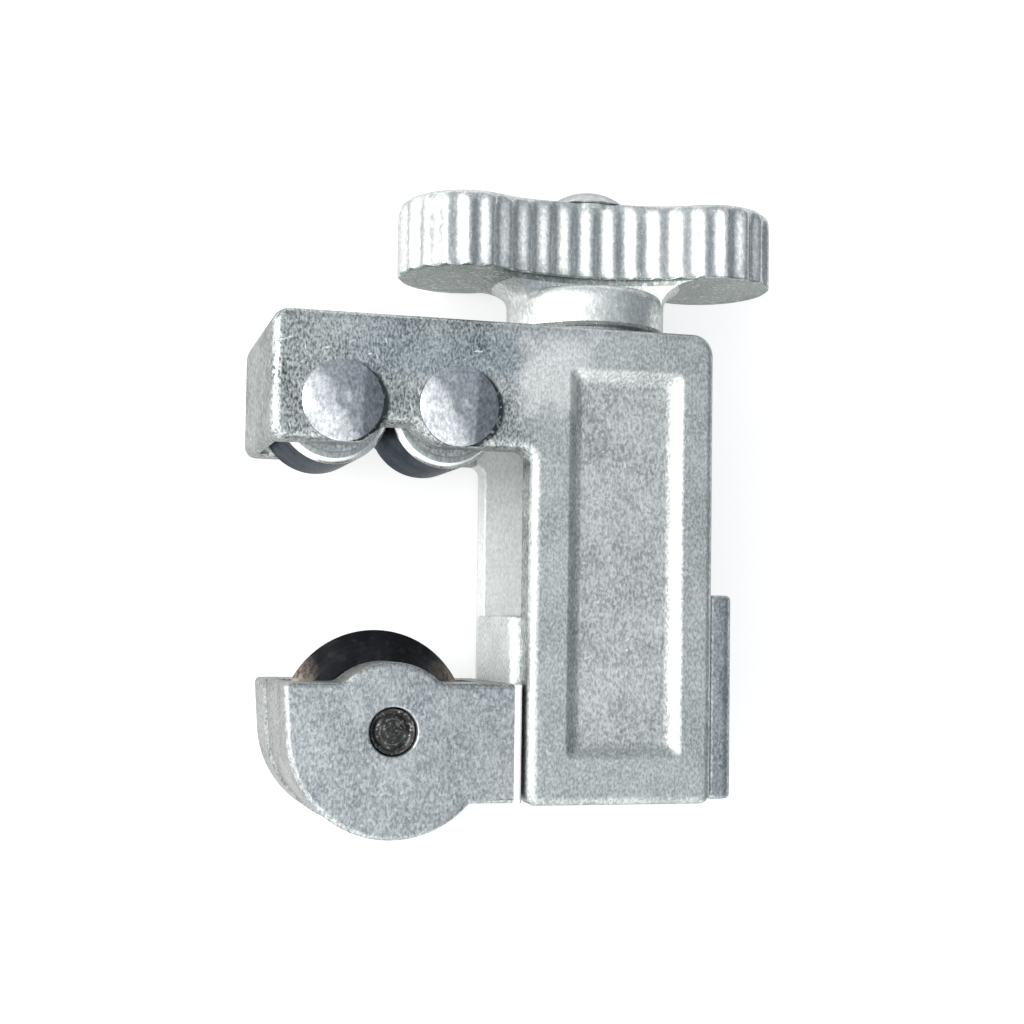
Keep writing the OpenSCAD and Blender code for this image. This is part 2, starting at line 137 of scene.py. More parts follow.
def bevelEdges(piece, rule, width, segments):
    startEdit(piece, "EDGE")
    if pickEdges(piece, rule):
        bpy.ops.mesh.bevel(offset=width, segments=segments, affect="EDGES", clamp_overlap=True,
                           miter_outer="ARC")
    endEdit()


def nameIt(name):
    piece = bpy.context.object
    piece.name = piece.data.name = name
    return piece


def addBox(name, low, high):
    deselectAll()
    low, high = Vector(low), Vector(high)
    bpy.ops.mesh.primitive_cube_add(size=1, location=(low + high) / 2)
    piece = nameIt(name)
    piece.scale = high - low
    makeActive(piece)
    bpy.ops.object.transform_apply(location=True, rotation=True, scale=True)
    return piece


def addOutline(name, points, lowZ, highZ):
    # A filled ring is laid on the outline's points, then pulled up to its height
    deselectAll()
    bpy.ops.mesh.primitive_circle_add(vertices=len(points), radius=1, fill_type="NGON")
    piece = nameIt(name)
    for vertex, point in zip(piece.data.vertices, points):
        vertex.co = (point[0], point[1], lowZ)
    startEdit(piece, "FACE")
    bpy.ops.mesh.extrude_region_move(TRANSFORM_OT_translate={"value": (0, 0, highZ - lowZ)})
    endEdit()
    faceOutwards(piece)
    return piece


def addSheet(name, around, along, place):
    # A grid is bent so that its point u, v lies at place(u, v); seams and poles are then closed
    deselectAll()
    bpy.ops.mesh.primitive_grid_add(x_subdivisions=around, y_subdivisions=along, size=1)
    piece = nameIt(name)
    for vertex in piece.data.vertices:
        vertex.co = place(vertex.co.x + 0.5, vertex.co.y + 0.5)
    startEdit(piece)
    bpy.ops.mesh.remove_doubles(threshold=care.merge)
    bpy.ops.mesh.dissolve_degenerate(threshold=care.degenerate)
    endEdit()
    faceOutwards(piece)
    return piece


def addLathe(name, profile, centre, axis="z", around=96):
    # Turns a profile of (radius, height) pairs about an axis through centre
    count = len(profile) - 1

    def place(u, v):
        radius, height = profile[round(v * count)]
        turn = 2 * pi * u
        if axis == "z":
            return (centre[0] + radius * cos(turn), centre[1] + radius * sin(turn), centre[2] + height)
        return (centre[0] + radius * sin(turn), centre[1] + height, centre[2] + radius * cos(turn))

    return addSheet(name, around, count, place)


def addRod(name, radius, low, high, centre, axis="z", around=64):
    return addLathe(name, [(0, low), (radius, low), (radius, high), (0, high)], centre, axis, around)


def domeCap(reach, rise, top, steps):
    # Profile of a round cap from its edge nearly to its middle
    ball = (reach ** 2 + rise ** 2) / (2 * rise)
    sweep = acos((ball - rise) / ball)
    turns = [sweep * (1 - step / steps) for step in range(steps)]
    return [(ball * sin(turn), top - ball + ball * cos(turn)) for turn in turns]


def quarterTurn(steps):
    # Sine and cosine at even steps through a quarter turn
    return [(sin(step * pi / 2 / steps), cos(step * pi / 2 / steps)) for step in range(steps + 1)]


def arc(centre, radius, start, end, steps):
    turns = [radians(start + (end - start) * step / steps) for step in range(steps + 1)]
    return [(centre[0] + radius * cos(turn), centre[1] + radius * sin(turn)) for turn in turns]


def roundCorners(corners, steps=8):
    # corners are (x, y, radius), counter-clockwise; each sharp corner becomes an arc
    points = []
    for i, (x, y, radius) in enumerate(corners):
        if radius <= 0:
            points.append((x, y))
            continue
        here = Vector((x, y))
        before, after = Vector(corners[i - 1][:2]), Vector(corners[(i + 1) % len(corners)][:2])
        inward, outward = (before - here).normalized(), (after - here).normalized()
        half = acos(max(-1, min(1, inward.dot(outward)))) / 2
        reach = radius / tan(half)
        centre = here + (inward + outward).normalized() * (radius / sin(half))
        start, end = here + inward * reach - centre, here + outward * reach - centre
        first = atan2(start.y, start.x)
        sweep = (atan2(end.y, end.x) - first + pi) % (2 * pi) - pi
        for step in range(steps + 1):
            turn = first + sweep * step / steps
            points.append((centre.x + radius * cos(turn), centre.y + radius * sin(turn)))
    return points


def combine(piece, other, operation):
    makeActive(piece)
    change = piece.modifiers.new("combine", "BOOLEAN")
    change.operation = operation
    change.solver = "EXACT"
    change.object = other
    bpy.ops.object.modifier_apply(modifier=change.name)
    bpy.data.objects.remove(other)


def cutAway(piece, cutter):
    combine(piece, cutter, "DIFFERENCE")


def joinOn(piece, extra):
    combine(piece, extra, "UNION")


def cleanFlats(piece):
    startEdit(piece)
    bpy.ops.mesh.remove_doubles(threshold=care.flatMerge)
    bpy.ops.mesh.dissolve_limited(angle_limit=radians(care.flatTurn))
    endEdit()


def smooth(piece, angle):
    # Smooth over angles up to the one given, with normals that follow the larger faces
    makeActive(piece)
    bpy.ops.object.shade_smooth_by_angle(angle=radians(angle))
    even = piece.modifiers.new("evenNormals", "WEIGHTED_NORMAL")
    even.keep_sharp = True
    even.weight = 60
    bpy.ops.object.modifier_apply(modifier=even.name)


def dress(piece, material):
    piece.data.materials.clear()
    piece.data.materials.append(material)


def finishPiece(piece, body, material, node, angle=32):
    smooth(piece, angle)
    dress(piece, material)
    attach(piece, body)
    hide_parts(node)
    print(piece.name, "made:", len(piece.data.polygons), "faces")


# Finishes. Each effect that several metals share is a node group, built once
nodeGrid = {"inRow": 8, "wide": 220, "high": 320}  # nodes are laid out in rows as they are made
mixSockets = {"RGBA": (6, 7, 2), "FLOAT": (2, 3, 0)}  # the Mix node's two inputs and its output


def addNode(tree, kind, **values):
    row, column = divmod(len(tree.nodes), nodeGrid["inRow"])
    node = tree.nodes.new(kind)
    node.location = (column * nodeGrid["wide"], -row * nodeGrid["high"])
    for name, value in values.items():
        setattr(node, name, value)
    return node


def feed(tree, socket, value):
    # Links another socket to this one, or sets this one to a plain value or colour
    if isinstance(value, bpy.types.NodeSocket):
        tree.links.new(value, socket)
    elif socket.type == "RGBA":
        socket.default_value = (*value, 1)
    else:
        socket.default_value = value


def feedAll(tree, node, inputs):
    for label, value in inputs.items():
        feed(tree, node.inputs[label], value)
    return node.outputs


def wire(tree, kind, inputs=None, **values):
    # Adds a shader node, feeds its inputs and hands out its outputs
    return feedAll(tree, addNode(tree, "ShaderNode" + kind, **values), inputs or {})


def mathNode(tree, operation, first, second, clamp=False):
    return wire(tree, "Math", {0: first, 1: second}, operation=operation, use_clamp=clamp)[0]


def addShares(tree, first, firstShare, second, secondShare):
    return mathNode(tree, "ADD", mathNode(tree, "MULTIPLY", first, firstShare),
                    mathNode(tree, "MULTIPLY", second, secondShare))


def stretchRange(tree, value, low, high, newLow=0.0, newHigh=1.0):
    return wire(tree, "MapRange", {
        "Value": value, "From Min": low, "From Max": high, "To Min": newLow, "To Max": newHigh})["Result"]


def mix(tree, factor, first, second, kind="RGBA"):
    low, high, result = mixSockets[kind]
    return wire(tree, "Mix", {0: factor, low: first, high: second}, data_type=kind)[result]


def noise(tree, vector, scale, detail=2.0, roughness=0.5):
    return wire(tree, "TexNoise", {
        "Vector": vector, "Scale": scale, "Detail": detail, "Roughness": roughness})["Fac"]


def vectorMath(tree, operation, *vectors):
    return wire(tree, "VectorMath", dict(enumerate(vectors)), operation=operation)


def splitVector(tree, vector):
    return wire(tree, "SeparateXYZ", {"Vector": vector})


def pairUp(tree, first, second):
    return wire(tree, "CombineXYZ", {"X": first, "Y": second})["Vector"]


def drawnOut(tree, vector, scale):
    return wire(tree, "Mapping", {"Vector": vector, "Scale": scale})["Vector"]


def objectPlace(tree):
    return wire(tree, "TexCoord")["Object"]


def newGroup(name, inputs, outputs):
    # Inputs are given with their first values, a tuple for a vector; outputs are all plain values
    group = bpy.data.node_groups.new(name, "ShaderNodeTree")
    for label, value in inputs.items():
        kind = "NodeSocketVector" if isinstance(value, tuple) else "NodeSocketFloat"
        group.interface.new_socket(name=label, in_out="INPUT", socket_type=kind).default_value = value
    for label in outputs:
        group.interface.new_socket(name=label, in_out="OUTPUT", socket_type="NodeSocketFloat")
    return group, addNode(group, "NodeGroupInput").outputs, addNode(group, "NodeGroupOutput")


def placeGroup(tree, group, **values):
    return wire(tree, "Group", values, node_tree=group)


castGrainLook = {
    "drawn": (1.15, 0.6, 1.15), "detail": 3.0, "fineRough": 0.62, "driftRough": 0.55, "facetScale": 0.85,
    "fineHeight": 0.8, "facetHeight": 0.35,
    "tone": (0.38, 0.62), "drift": (0.36, 0.64), "sparkle": (0.80, 1.0),
}


def castGrainGroup():
    # Fine grain of a zinc casting: a height for bump, tones for colour and single bright facets
    look = Names(**castGrainLook)
    group, given, result = newGroup("castGrain", {"Grain": 4200.0, "Drift": 260.0},
                                    ("Height", "Tone", "Drift", "Sparkle"))
    place = objectPlace(group)
    fine = noise(group, drawnOut(group, place, look.drawn), given["Grain"], look.detail, look.fineRough)
    drift = noise(group, place, given["Drift"], look.detail, look.driftRough)
    size = mathNode(group, "MULTIPLY", given["Grain"], look.facetScale)
    cells = wire(group, "TexVoronoi", {"Vector": place, "Scale": size})
    facets = wire(group, "SeparateColor", {"Color": cells["Color"]})
    feedAll(group, result, {
        "Height": addShares(group, fine, look.fineHeight, facets["Green"], look.facetHeight),
        "Tone": stretchRange(group, fine, *look.tone),
        "Drift": stretchRange(group, drift, *look.drift),
        "Sparkle": stretchRange(group, facets["Red"], *look.sparkle)})
    return group


tumbleLook = {"draws": ((0.22, 1.0, 1.0), (1.0, 0.3, 1.0)), "bare": 0.72, "full": 0.78, "spread": 0.2}


def tumbleMarksGroup():
    # Short slanted marks that tumbling and brushing leave; more of them where Cover is high
    look = Names(**tumbleLook)
    group, given, result = newGroup("tumbleMarks", {"Fineness": 2600.0, "Turn": 0.6, "Cover": 0.5},
                                    ("Height", "Mask"))
    turned = wire(group, "VectorRotate", {"Vector": objectPlace(group), "Angle": given["Turn"]},
                  rotation_type="Z_AXIS")["Vector"]
    streaks = [noise(group, drawnOut(group, turned, draw), given["Fineness"]) for draw in look.draws]
    both = mathNode(group, "MAXIMUM", *streaks)
    low = mathNode(group, "SUBTRACT", look.bare, mathNode(group, "MULTIPLY", given["Cover"], look.spread))
    feedAll(group, result, {"Height": both, "Mask": stretchRange(group, both, low, look.full)})
    return group


def turnedLinesGroup():
    # Fine rings that a lathe or a grinding wheel leaves about an axis along z through Centre
    group, given, result = newGroup("turnedLines", {"Centre": (0.0, 0.0, 0.0), "Fineness": 9000.0},
                                    ("Height", "Radius"))
    away = splitVector(group, vectorMath(group, "SUBTRACT", objectPlace(group), given["Centre"])["Vector"])
    radius = vectorMath(group, "LENGTH", pairUp(group, away["X"], away["Y"]))["Value"]
    rings = noise(group, pairUp(group, radius, away["Z"]), given["Fineness"])
    feedAll(group, result, {"Height": rings, "Radius": radius})
    return group


boxLook = {"waverScale": 420.0, "detail": 3.0, "roughness": 0.6, "middle": 0.5}


def insideBoxGroup():
    # A soft-edged mask of what lies within Half of Centre, its edge made uneven by Waver
    look = Names(**boxLook)
    group, given, result = newGroup("insideBox", {
        "Centre": (0.0, 0.0, 0.0), "Half": (0.01, 0.01, 0.01), "Edge": 0.1, "Waver": 0.0}, ("Mask",))
    place = objectPlace(group)
    away = vectorMath(group, "SUBTRACT", place, given["Centre"])["Vector"]
    share = vectorMath(group, "DIVIDE", away, given["Half"])["Vector"]
    parts = splitVector(group, vectorMath(group, "ABSOLUTE", share)["Vector"])
    widest = mathNode(group, "MAXIMUM", mathNode(group, "MAXIMUM", parts["X"], parts["Y"]), parts["Z"])
    uneven = noise(group, place, look.waverScale, look.detail, look.roughness)
    uneven = mathNode(group, "SUBTRACT", uneven, look.middle)
    widest = mathNode(group, "ADD", widest, mathNode(group, "MULTIPLY", uneven, given["Waver"]))
    limit = mathNode(group, "ADD", given["Edge"], 1.0)
    feedAll(group, result, {"Mask": stretchRange(group, widest, 1.0, limit, 1.0, 0.0)})
    return group


castGrain = castGrainGroup()
tumbleMarks = tumbleMarksGroup()
turnedLines = turnedLinesGroup()
insideBox = insideBoxGroup()


def boxMask(tree, centre, half, edge=0.1, waver=0.0):
    return placeGroup(tree, insideBox, Centre=centre, Half=half, Edge=edge, Waver=waver)["Mask"]


def emptyTree(owner):
    owner.use_nodes = True
    owner.node_tree.nodes.clear()
    return owner.node_tree


def startMaterial(name):
    material = bpy.data.materials.new(name)
    tree = emptyTree(material)
    shader = addNode(tree, "ShaderNodeBsdfPrincipled")
    wire(tree, "OutputMaterial", {"Surface": shader.outputs["BSDF"]})
    return material, tree, shader


def bumpInto(tree, shader, height, depth, before=None, strength=1.0):
    values = {"Strength": strength, "Distance": depth * mm, "Height": height}
    if before:
        values["Normal"] = before
    normal = wire(tree, "Bump", values)["Normal"]
    feed(tree, shader.inputs["Normal"], normal)
    return normal


castLook = {"tone": 0.72, "drift": 0.28, "glint": 0.4, "brighter": 1.35, "marksBump": 1.2, "frontDepth": 0.5}


def castMetal(name, dark, light, grain, bump, marks, roughLow, roughHigh, drift=240.0, turn=0.6,
              marksFineness=2400.0, metal=0.9, edgeTint=0.5, patches=(), paintedShadows=()):
    # Satin zinc casting: fine grain, single bright facets, slanted tumble marks and patches of another tone,
    # among them patches of painted light and painted shade;
    # painted shadows are dark round rings on the front
    look = Names(**castLook)
    material, tree, shader = startMaterial(name)
    cast = placeGroup(tree, castGrain, Grain=grain, Drift=drift)
    worn = placeGroup(tree, tumbleMarks, Fineness=marksFineness, Turn=turn, Cover=marks)
    tone = addShares(tree, cast["Tone"], look.tone, cast["Drift"], look.drift)
    base = mix(tree, tone, dark, light)
    metalness = metal
    marked = mathNode(tree, "MULTIPLY", worn["Mask"], marks)
    for each in patches:
        mask = boxMask(tree, inScene(each["centre"]), inScene(each["half"]), each["edge"], each["waver"])
        base = mix(tree, mask, base, mix(tree, tone, each["dark"], each["light"]))
        metalness = mix(tree, mask, metalness, each["metal"], "FLOAT")
        extra = mathNode(tree, "MULTIPLY", mathNode(tree, "MULTIPLY", mask, each["marks"]), worn["Mask"])
        marked = mathNode(tree, "ADD", marked, extra)
    # Painted shadows: each one darkens the colour in a round ring on the front
    for shadowRing in paintedShadows:
        radius = placeGroup(tree, turnedLines, Centre=shadowRing["centre"])["Radius"]
        mask = stretchRange(tree, radius, shadowRing["radius"] - shadowRing["soft"], shadowRing["radius"], 1.0, 0.0)
        onFront = boxMask(tree, shadowRing["centre"], (1, 1, look.frontDepth * mm))
        base = mix(tree, mathNode(tree, "MULTIPLY", mask, onFront), base, shadowRing["tone"])
    glint = mathNode(tree, "MULTIPLY", cast["Sparkle"], look.glint)
    shine = mathNode(tree, "MAXIMUM", marked, glint, clamp=True)
    bright = tuple(min(1.0, channel * look.brighter) for channel in light)
    feedAll(tree, shader, {
        "Base Color": mix(tree, shine, base, bright), "Metallic": metalness,
        "Roughness": stretchRange(tree, tone, 0.0, 1.0, roughHigh, roughLow),
        "Specular Tint": (edgeTint,) * 3})
    grained = bumpInto(tree, shader, cast["Height"], bump)
    bumpInto(tree, shader, worn["Height"], bump * look.marksBump, grained, marks)
    return material


pressedLook = {
    "grain": 2600.0, "drift": 700.0, "bump": 0.006, "marks": 0.3, "turn": 1.1, "marksFineness": 3000.0,
    "roughLow": 0.26, "roughHigh": 0.42,
}


def pressedSteel(name, dark, light, **changes):
    # Cold-formed steel: smooth dents, faint marks
    return castMetal(name, dark, light, **{**pressedLook, **changes})


def startRinged(name, centre, look, grain):
    # Steel with fine rings about an axis and a faint grain, both also in its relief
    material, tree, shader = startMaterial(name)
    rings = placeGroup(tree, turnedLines, Centre=centre, Fineness=look.fineness)
    cast = placeGroup(tree, castGrain, Grain=grain, Drift=look.drift)
    ringed = bumpInto(tree, shader, rings["Height"], look.bump)
    bumpInto(tree, shader, cast["Height"], look.castBump, ringed, look.castStrength)
    return material, tree, shader, rings, cast


turnedLook = {
    "fineness": 9000.0, "grain": 3600.0, "drift": 400.0, "rings": 0.4, "speckle": 0.6, "endEdge": 0.01,
    "rimSoft": 0.04, "rough": (0.36, 0.22), "edgeTint": (0.24, 0.25, 0.26), "bump": 0.004, "castBump": 0.003,
    "castStrength": 0.6, "tread": ((0.14, 0.15, 0.165), (0.22, 0.235, 0.26)),
    "face": ((0.24, 0.26, 0.26), (0.60, 0.64, 0.63)), "rim": (0.96, 0.98, 0.98),
}


def turnedMetal(name, centre, half, rimFrom):
    # Turned steel with rings about its own axis: a dark smooth tread between paler ends with a bright rim;
    # the tread's dark tone is painted shade and the near-white rim a painted highlight
    look = Names(**turnedLook)
    material, tree, shader, rings, cast = startRinged(name, centre, look, look.grain)
    middle = boxMask(tree, centre, (1, 1, half), look.endEdge)
    tone = addShares(tree, rings["Height"], look.rings, cast["Tone"], look.speckle)
    soft = look.rimSoft * mm
    # Painted highlight: the near-white rim where the face meets the chamfer; the tread's dark tone is
    # painted shade
    onRim = stretchRange(tree, rings["Radius"], rimFrom - soft, rimFrom + soft)
    face = mix(tree, onRim, mix(tree, tone, *look.face), look.rim)
    feedAll(tree, shader, {
        "Base Color": mix(tree, middle, face, mix(tree, cast["Drift"], *look.tread)), "Metallic": 1.0,
        "Roughness": stretchRange(tree, tone, 0.0, 1.0, *look.rough), "Specular Tint": look.edgeTint})
    return material


oxideLook = {
    "fineness": 5200.0, "drift": 420.0, "ringsFrom": 0.55, "ringsTo": 0.85, "flankSoft": 0.08,
    "blackHalf": 0.72, "blackEdge": 0.5, "blackWaver": 0.5,
    "flank": ((0.05, 0.042, 0.036), (0.20, 0.165, 0.135)),
    "rough": (0.46, 0.28), "metal": 0.85, "bump": 0.002, "castBump": 0.010, "castStrength": 0.8,
}


def blackOxide(name, dark, light, glint, rubAndGlintTone, grain=2600.0, rim=None):
    # Blackened steel; at two opposite places, left and right, the ground flank beyond rim shows brown
    # through the black:
    # partly the flank's own tone, partly a painted sheen where light catches the bevel
    look = Names(**oxideLook)
    material, tree, shader, rings, cast = startRinged(name, wheelAxis, look, grain)
    base = mix(tree, cast["Drift"], dark, light)
    # Painted glints, partly bare steel: ring marks and bright flecks turn the colour towards a lighter tone
    rubAndGlint = stretchRange(tree, rings["Height"], look.ringsFrom, look.ringsTo, 0.0, glint)
    rubAndGlint = mathNode(tree, "ADD", rubAndGlint, mathNode(tree, "MULTIPLY", cast["Sparkle"], glint), clamp=True)
    # Painted sheen, partly the flank's own tone: brown only at the left and right ends of the bevel
    if rim:
        soft = look.flankSoft * mm
        flank = stretchRange(tree, rings["Radius"], rim - soft, rim + soft)
        black = boxMask(tree, wheelAxis, (rim * look.blackHalf, 1, 1), look.blackEdge, look.blackWaver)
        flank = mathNode(tree, "MULTIPLY", flank, mathNode(tree, "SUBTRACT", 1.0, black))
        base = mix(tree, flank, base, mix(tree, cast["Tone"], *look.flank))
    feedAll(tree, shader, {
        "Base Color": mix(tree, rubAndGlint, base, rubAndGlintTone), "Metallic": look.metal,
        "Roughness": stretchRange(tree, cast["Drift"], 0.0, 1.0, *look.rough)})
    return material


def patch(centre, half, dark, light, marks, metal, edge=0.02, waver=0.0):
    # A box, in millimetres, in which a casting has another tone
    return {"centre": centre, "half": half, "dark": dark, "light": light, "marks": marks, "metal": metal,
            "edge": edge, "waver": waver}


# Painted contact shadow: a dark ring in the frame's colour at each rivet's head, a little right of it
rivetShadowLook = {"shift": (0.62, -0.12), "radius": 3.72, "soft": 0.3, "tone": (0.05, 0.06, 0.06)}

# Millimetres, as in the patches
frameFront = bodyHigh.z / mm
frameMiddle = frameFront / 2
jawFront = jawHigh.z / mm
frameMetal = castMetal(
    "frameZinc", (0.32, 0.35, 0.345), (0.76, 0.79, 0.78), grain=4500.0, bump=0.02, marks=0.2, turn=1.25,
    roughLow=0.28, roughHigh=0.42, metal=0.8, edgeTint=0.45, patches=(
        # Sides and back
        patch((-10.9, 0, frameMiddle - 0.5), (40, 40, frameMiddle - 0.4), (0.12, 0.135, 0.13),
              (0.66, 0.69, 0.67), marks=0.6, metal=0.85),
        # The slot's inside: painted light, a near-white, nearly matt tone that stands in for light falling
        # into the slot
        patch((0.2, -1.5, frameMiddle - 1.05), (9.0, 19.3, 7.1), (0.70, 0.73, 0.72), (0.97, 0.99, 0.98),
              marks=0, metal=0.1, edge=0.01),
        # The arm's brushed front and its bluish middle
        patch((-20.5, 17, frameFront), (10.5, 6.5, 0.8), (0.07, 0.09, 0.09), (0.76, 0.80, 0.79),
              marks=1.0, metal=0.9, edge=0.3, waver=0.5),
        patch((-16, 18.4, frameFront), (4.6, 1.1, 0.8), (0.10, 0.14, 0.155), (0.64, 0.71, 0.74),
              marks=0.7, metal=0.95, edge=1.3, waver=2.4),
        # The bright corner over the column
        patch((-5.6, 16.8, frameFront), (2.4, 2.6, 0.8), (0.52, 0.55, 0.53), (1, 1, 0.99),
              marks=1.0, metal=0.7, edge=0.7, waver=1.8),
        # The panel's floor, as cast
        patch((1.0, 0.2, frameFront - 0.95), (5.2, 17.2, 0.3), (0.28, 0.305, 0.295), (0.81, 0.83, 0.82),
              marks=0.4, metal=0.7, edge=0.03)),
    # Painted contact shadows, one a little right of each rivet's head
    paintedShadows=[{"centre": (*(rollerAxis(node).xy + Vector(rivetShadowLook["shift"]) * mm), bodyHigh.z),
             "radius": rivetShadowLook["radius"] * mm, "soft": rivetShadowLook["soft"] * mm, "tone": rivetShadowLook["tone"]}
            for node in rollerNames])
jawMetal = castMetal(
    "jawZinc", (0.22, 0.255, 0.27), (0.68, 0.71, 0.72), grain=4700.0, bump=0.022, marks=0.25, turn=-0.5,
    roughLow=0.28, roughHigh=0.42, metal=0.85, edgeTint=0.45, patches=(
        # Sides, tongue, and a painted highlight along the edge next to the column
        patch((-21, -12, jawFront / 2), (12, 14, jawFront / 2 - 0.2), (0.18, 0.195, 0.19),
              (0.76, 0.78, 0.76), marks=0.6, metal=0.85),
        patch((0, -11.5, frameMiddle), (8.95, 9, 6.2), (0.46, 0.49, 0.48), (0.98, 1, 0.99),
              marks=0.3, metal=0.6, edge=0.01),
        # Painted highlight: a near-white, nearly matt strip on the jaw's front edge by the column, standing
        # in for the column's bright side mirrored there
        patch((-8.75, -16, jawFront), (0.34, 5.3, 0.8), (0.94, 0.96, 0.96), (1, 1, 1),
              marks=0, metal=0.1, edge=0.05)))
knobMetal = castMetal(
    "knobZinc", (0.46, 0.485, 0.48), (0.84, 0.86, 0.85), grain=3300.0, marks=0.2, bump=0.03,
    roughLow=0.22, roughHigh=0.38, metal=0.85, edgeTint=0.6, patches=(
        # Painted shade on the underside of the wings, and painted light on the hub: a darker tone under the
        # wings, a lighter one on the hub
        patch((0, 27.1, frameMiddle), (30, 0.35, 30), (0.22, 0.26, 0.24), (0.46, 0.50, 0.48),
              marks=0.1, metal=0.8),
        # Painted light: the hub's lighter tone
        patch((0, 24.4, frameMiddle), (9.2, 2.3, 9.2), (0.54, 0.57, 0.55), (0.94, 0.96, 0.95),
              marks=0.1, metal=0.8)))
rivetMetal = pressedSteel("rivetSteel", (0.31, 0.34, 0.375), (0.69, 0.71, 0.725), grain=3600.0, bump=0.004,
                          marks=0.4, roughLow=0.04, roughHigh=0.13)
screwMetal = pressedSteel("screwSteel", (0.52, 0.54, 0.55), (0.70, 0.72, 0.73))
washerMetal = pressedSteel("washerSteel", (0.24, 0.26, 0.27), (0.76, 0.79, 0.80), bump=0.02, grain=4000.0)
clipMetal = pressedSteel("clipSteel", (0.14, 0.14, 0.15), (0.24, 0.24, 0.26))
# The tread's dark tone is painted shade, the bright rim a painted highlight
rollerEnd = 0.5 * mm  # how far the pale ends reach over the tread, and the bright rim over the face
rollerMetals = {
    node: turnedMetal(node + "Steel", rollerAxis(node), (rollerHigh.z - rollerLow.z) / 2 - rollerEnd,
                      rollerRadius - rollerEnd)
    for node in rollerNames}
wheelMetal = blackOxide("wheelSteel", (0.009, 0.010, 0.013), (0.026, 0.027, 0.032), 0.06, (0.30, 0.26, 0.21),
                        rim=wheelRadius - 1.7 * mm)
pinMetal = blackOxide("pinSteel", (0.016, 0.016, 0.017), (0.055, 0.054, 0.053), 0.35, (0.62, 0.61, 0.58),
                      grain=6400.0)
print("finishes made")


# Frame casting
frameShape = {
    "columnWidth": 17.6, "armHeight": 11.4, "bigCorner": 2.0, "smallCorner": 1.05, "rimRound": 0.9,
    "frontCornerTop": 1.5, "backCornerTop": 2.1, "backCornerFoot": 1.05,
    "slotWidth": 12.0, "slotLead": 1.6, "endWall": 0.8, "slotRound": 0.25, "runGap": 0.25,
    "panelWidth": 10.8, "panelHeight": 34.8, "panelDepth": 0.9, "panelSlope": 1.0, "panelShift": 0.2,
    "panelCorner": 0.55, "panelMouthRound": 0.22, "panelFloorRound": 0.4,
    "notchTopHalf": 1.1, "notchFootHalf": 3.3, "notchRise": 1.7, "notchRound": 1.9, "notchTopRound": 0.95,
    "tailRadius": 3.16, "tailDepth": 0.5, "boreRadius": 3.05, "overrun": 2.0,
}


def frameOutline(s, topCorner, footCorner):
    # The inverted L with a notch under its arm, between the rollers
    left, right, foot, top = bodyLow.x, bodyHigh.x, bodyLow.y, bodyHigh.y
    throat, under, small = right - s.columnWidth, top - s.armHeight, s.smallCorner
    mid = (rollerAxis("roller_left").x + rollerAxis("roller_right").x) / 2
    return roundCorners([
        (right, foot, small), (right, top, s.bigCorner), (left, top, topCorner), (left, under, footCorner),
        (mid - s.notchFootHalf, under, s.notchRound),
        (mid - s.notchTopHalf, under + s.notchRise, s.notchTopRound),
        (mid + s.notchTopHalf, under + s.notchRise, s.notchTopRound),
        (mid + s.notchFootHalf, under, s.notchRound),
        (throat, under, small), (throat, foot, small)])


def sinkPanel(piece, s):
    # The panel's floor outline is pulled up and out to its mouth
    top, slope = bodyHigh.z, s.panelSlope
    floor = top - s.panelDepth
    middle = Vector((bodyHigh.x - s.columnWidth / 2 + s.panelShift, s.panelShift))
    halfX, halfY = s.panelWidth / 2 - slope, s.panelHeight / 2 - slope
    corners = [(middle.x + x * halfX, middle.y + y * halfY, s.panelCorner)
               for x, y in ((1, -1), (1, 1), (-1, 1), (-1, -1))]
    plate = addOutline("panelCutter", roundCorners(corners, 5), floor, top + s.panelDepth)
    for vertex in plate.data.vertices:
        if vertex.co.z > top:
            vertex.co.x += 2 * slope * (1 if vertex.co.x > middle.x else -1)
            vertex.co.y += 2 * slope * (1 if vertex.co.y > middle.y else -1)
    cutAway(piece, plate)

    def ofPanel(level):
        flat = onLevels(level)
        return lambda a, b, e: flat(a, b, e) and abs(a.y - middle.y) < halfY + 2 * slope and all(
            abs(end.x - middle.x) < halfX + 2 * slope for end in (a, b))

    return ofPanel(floor), ofPanel(top)


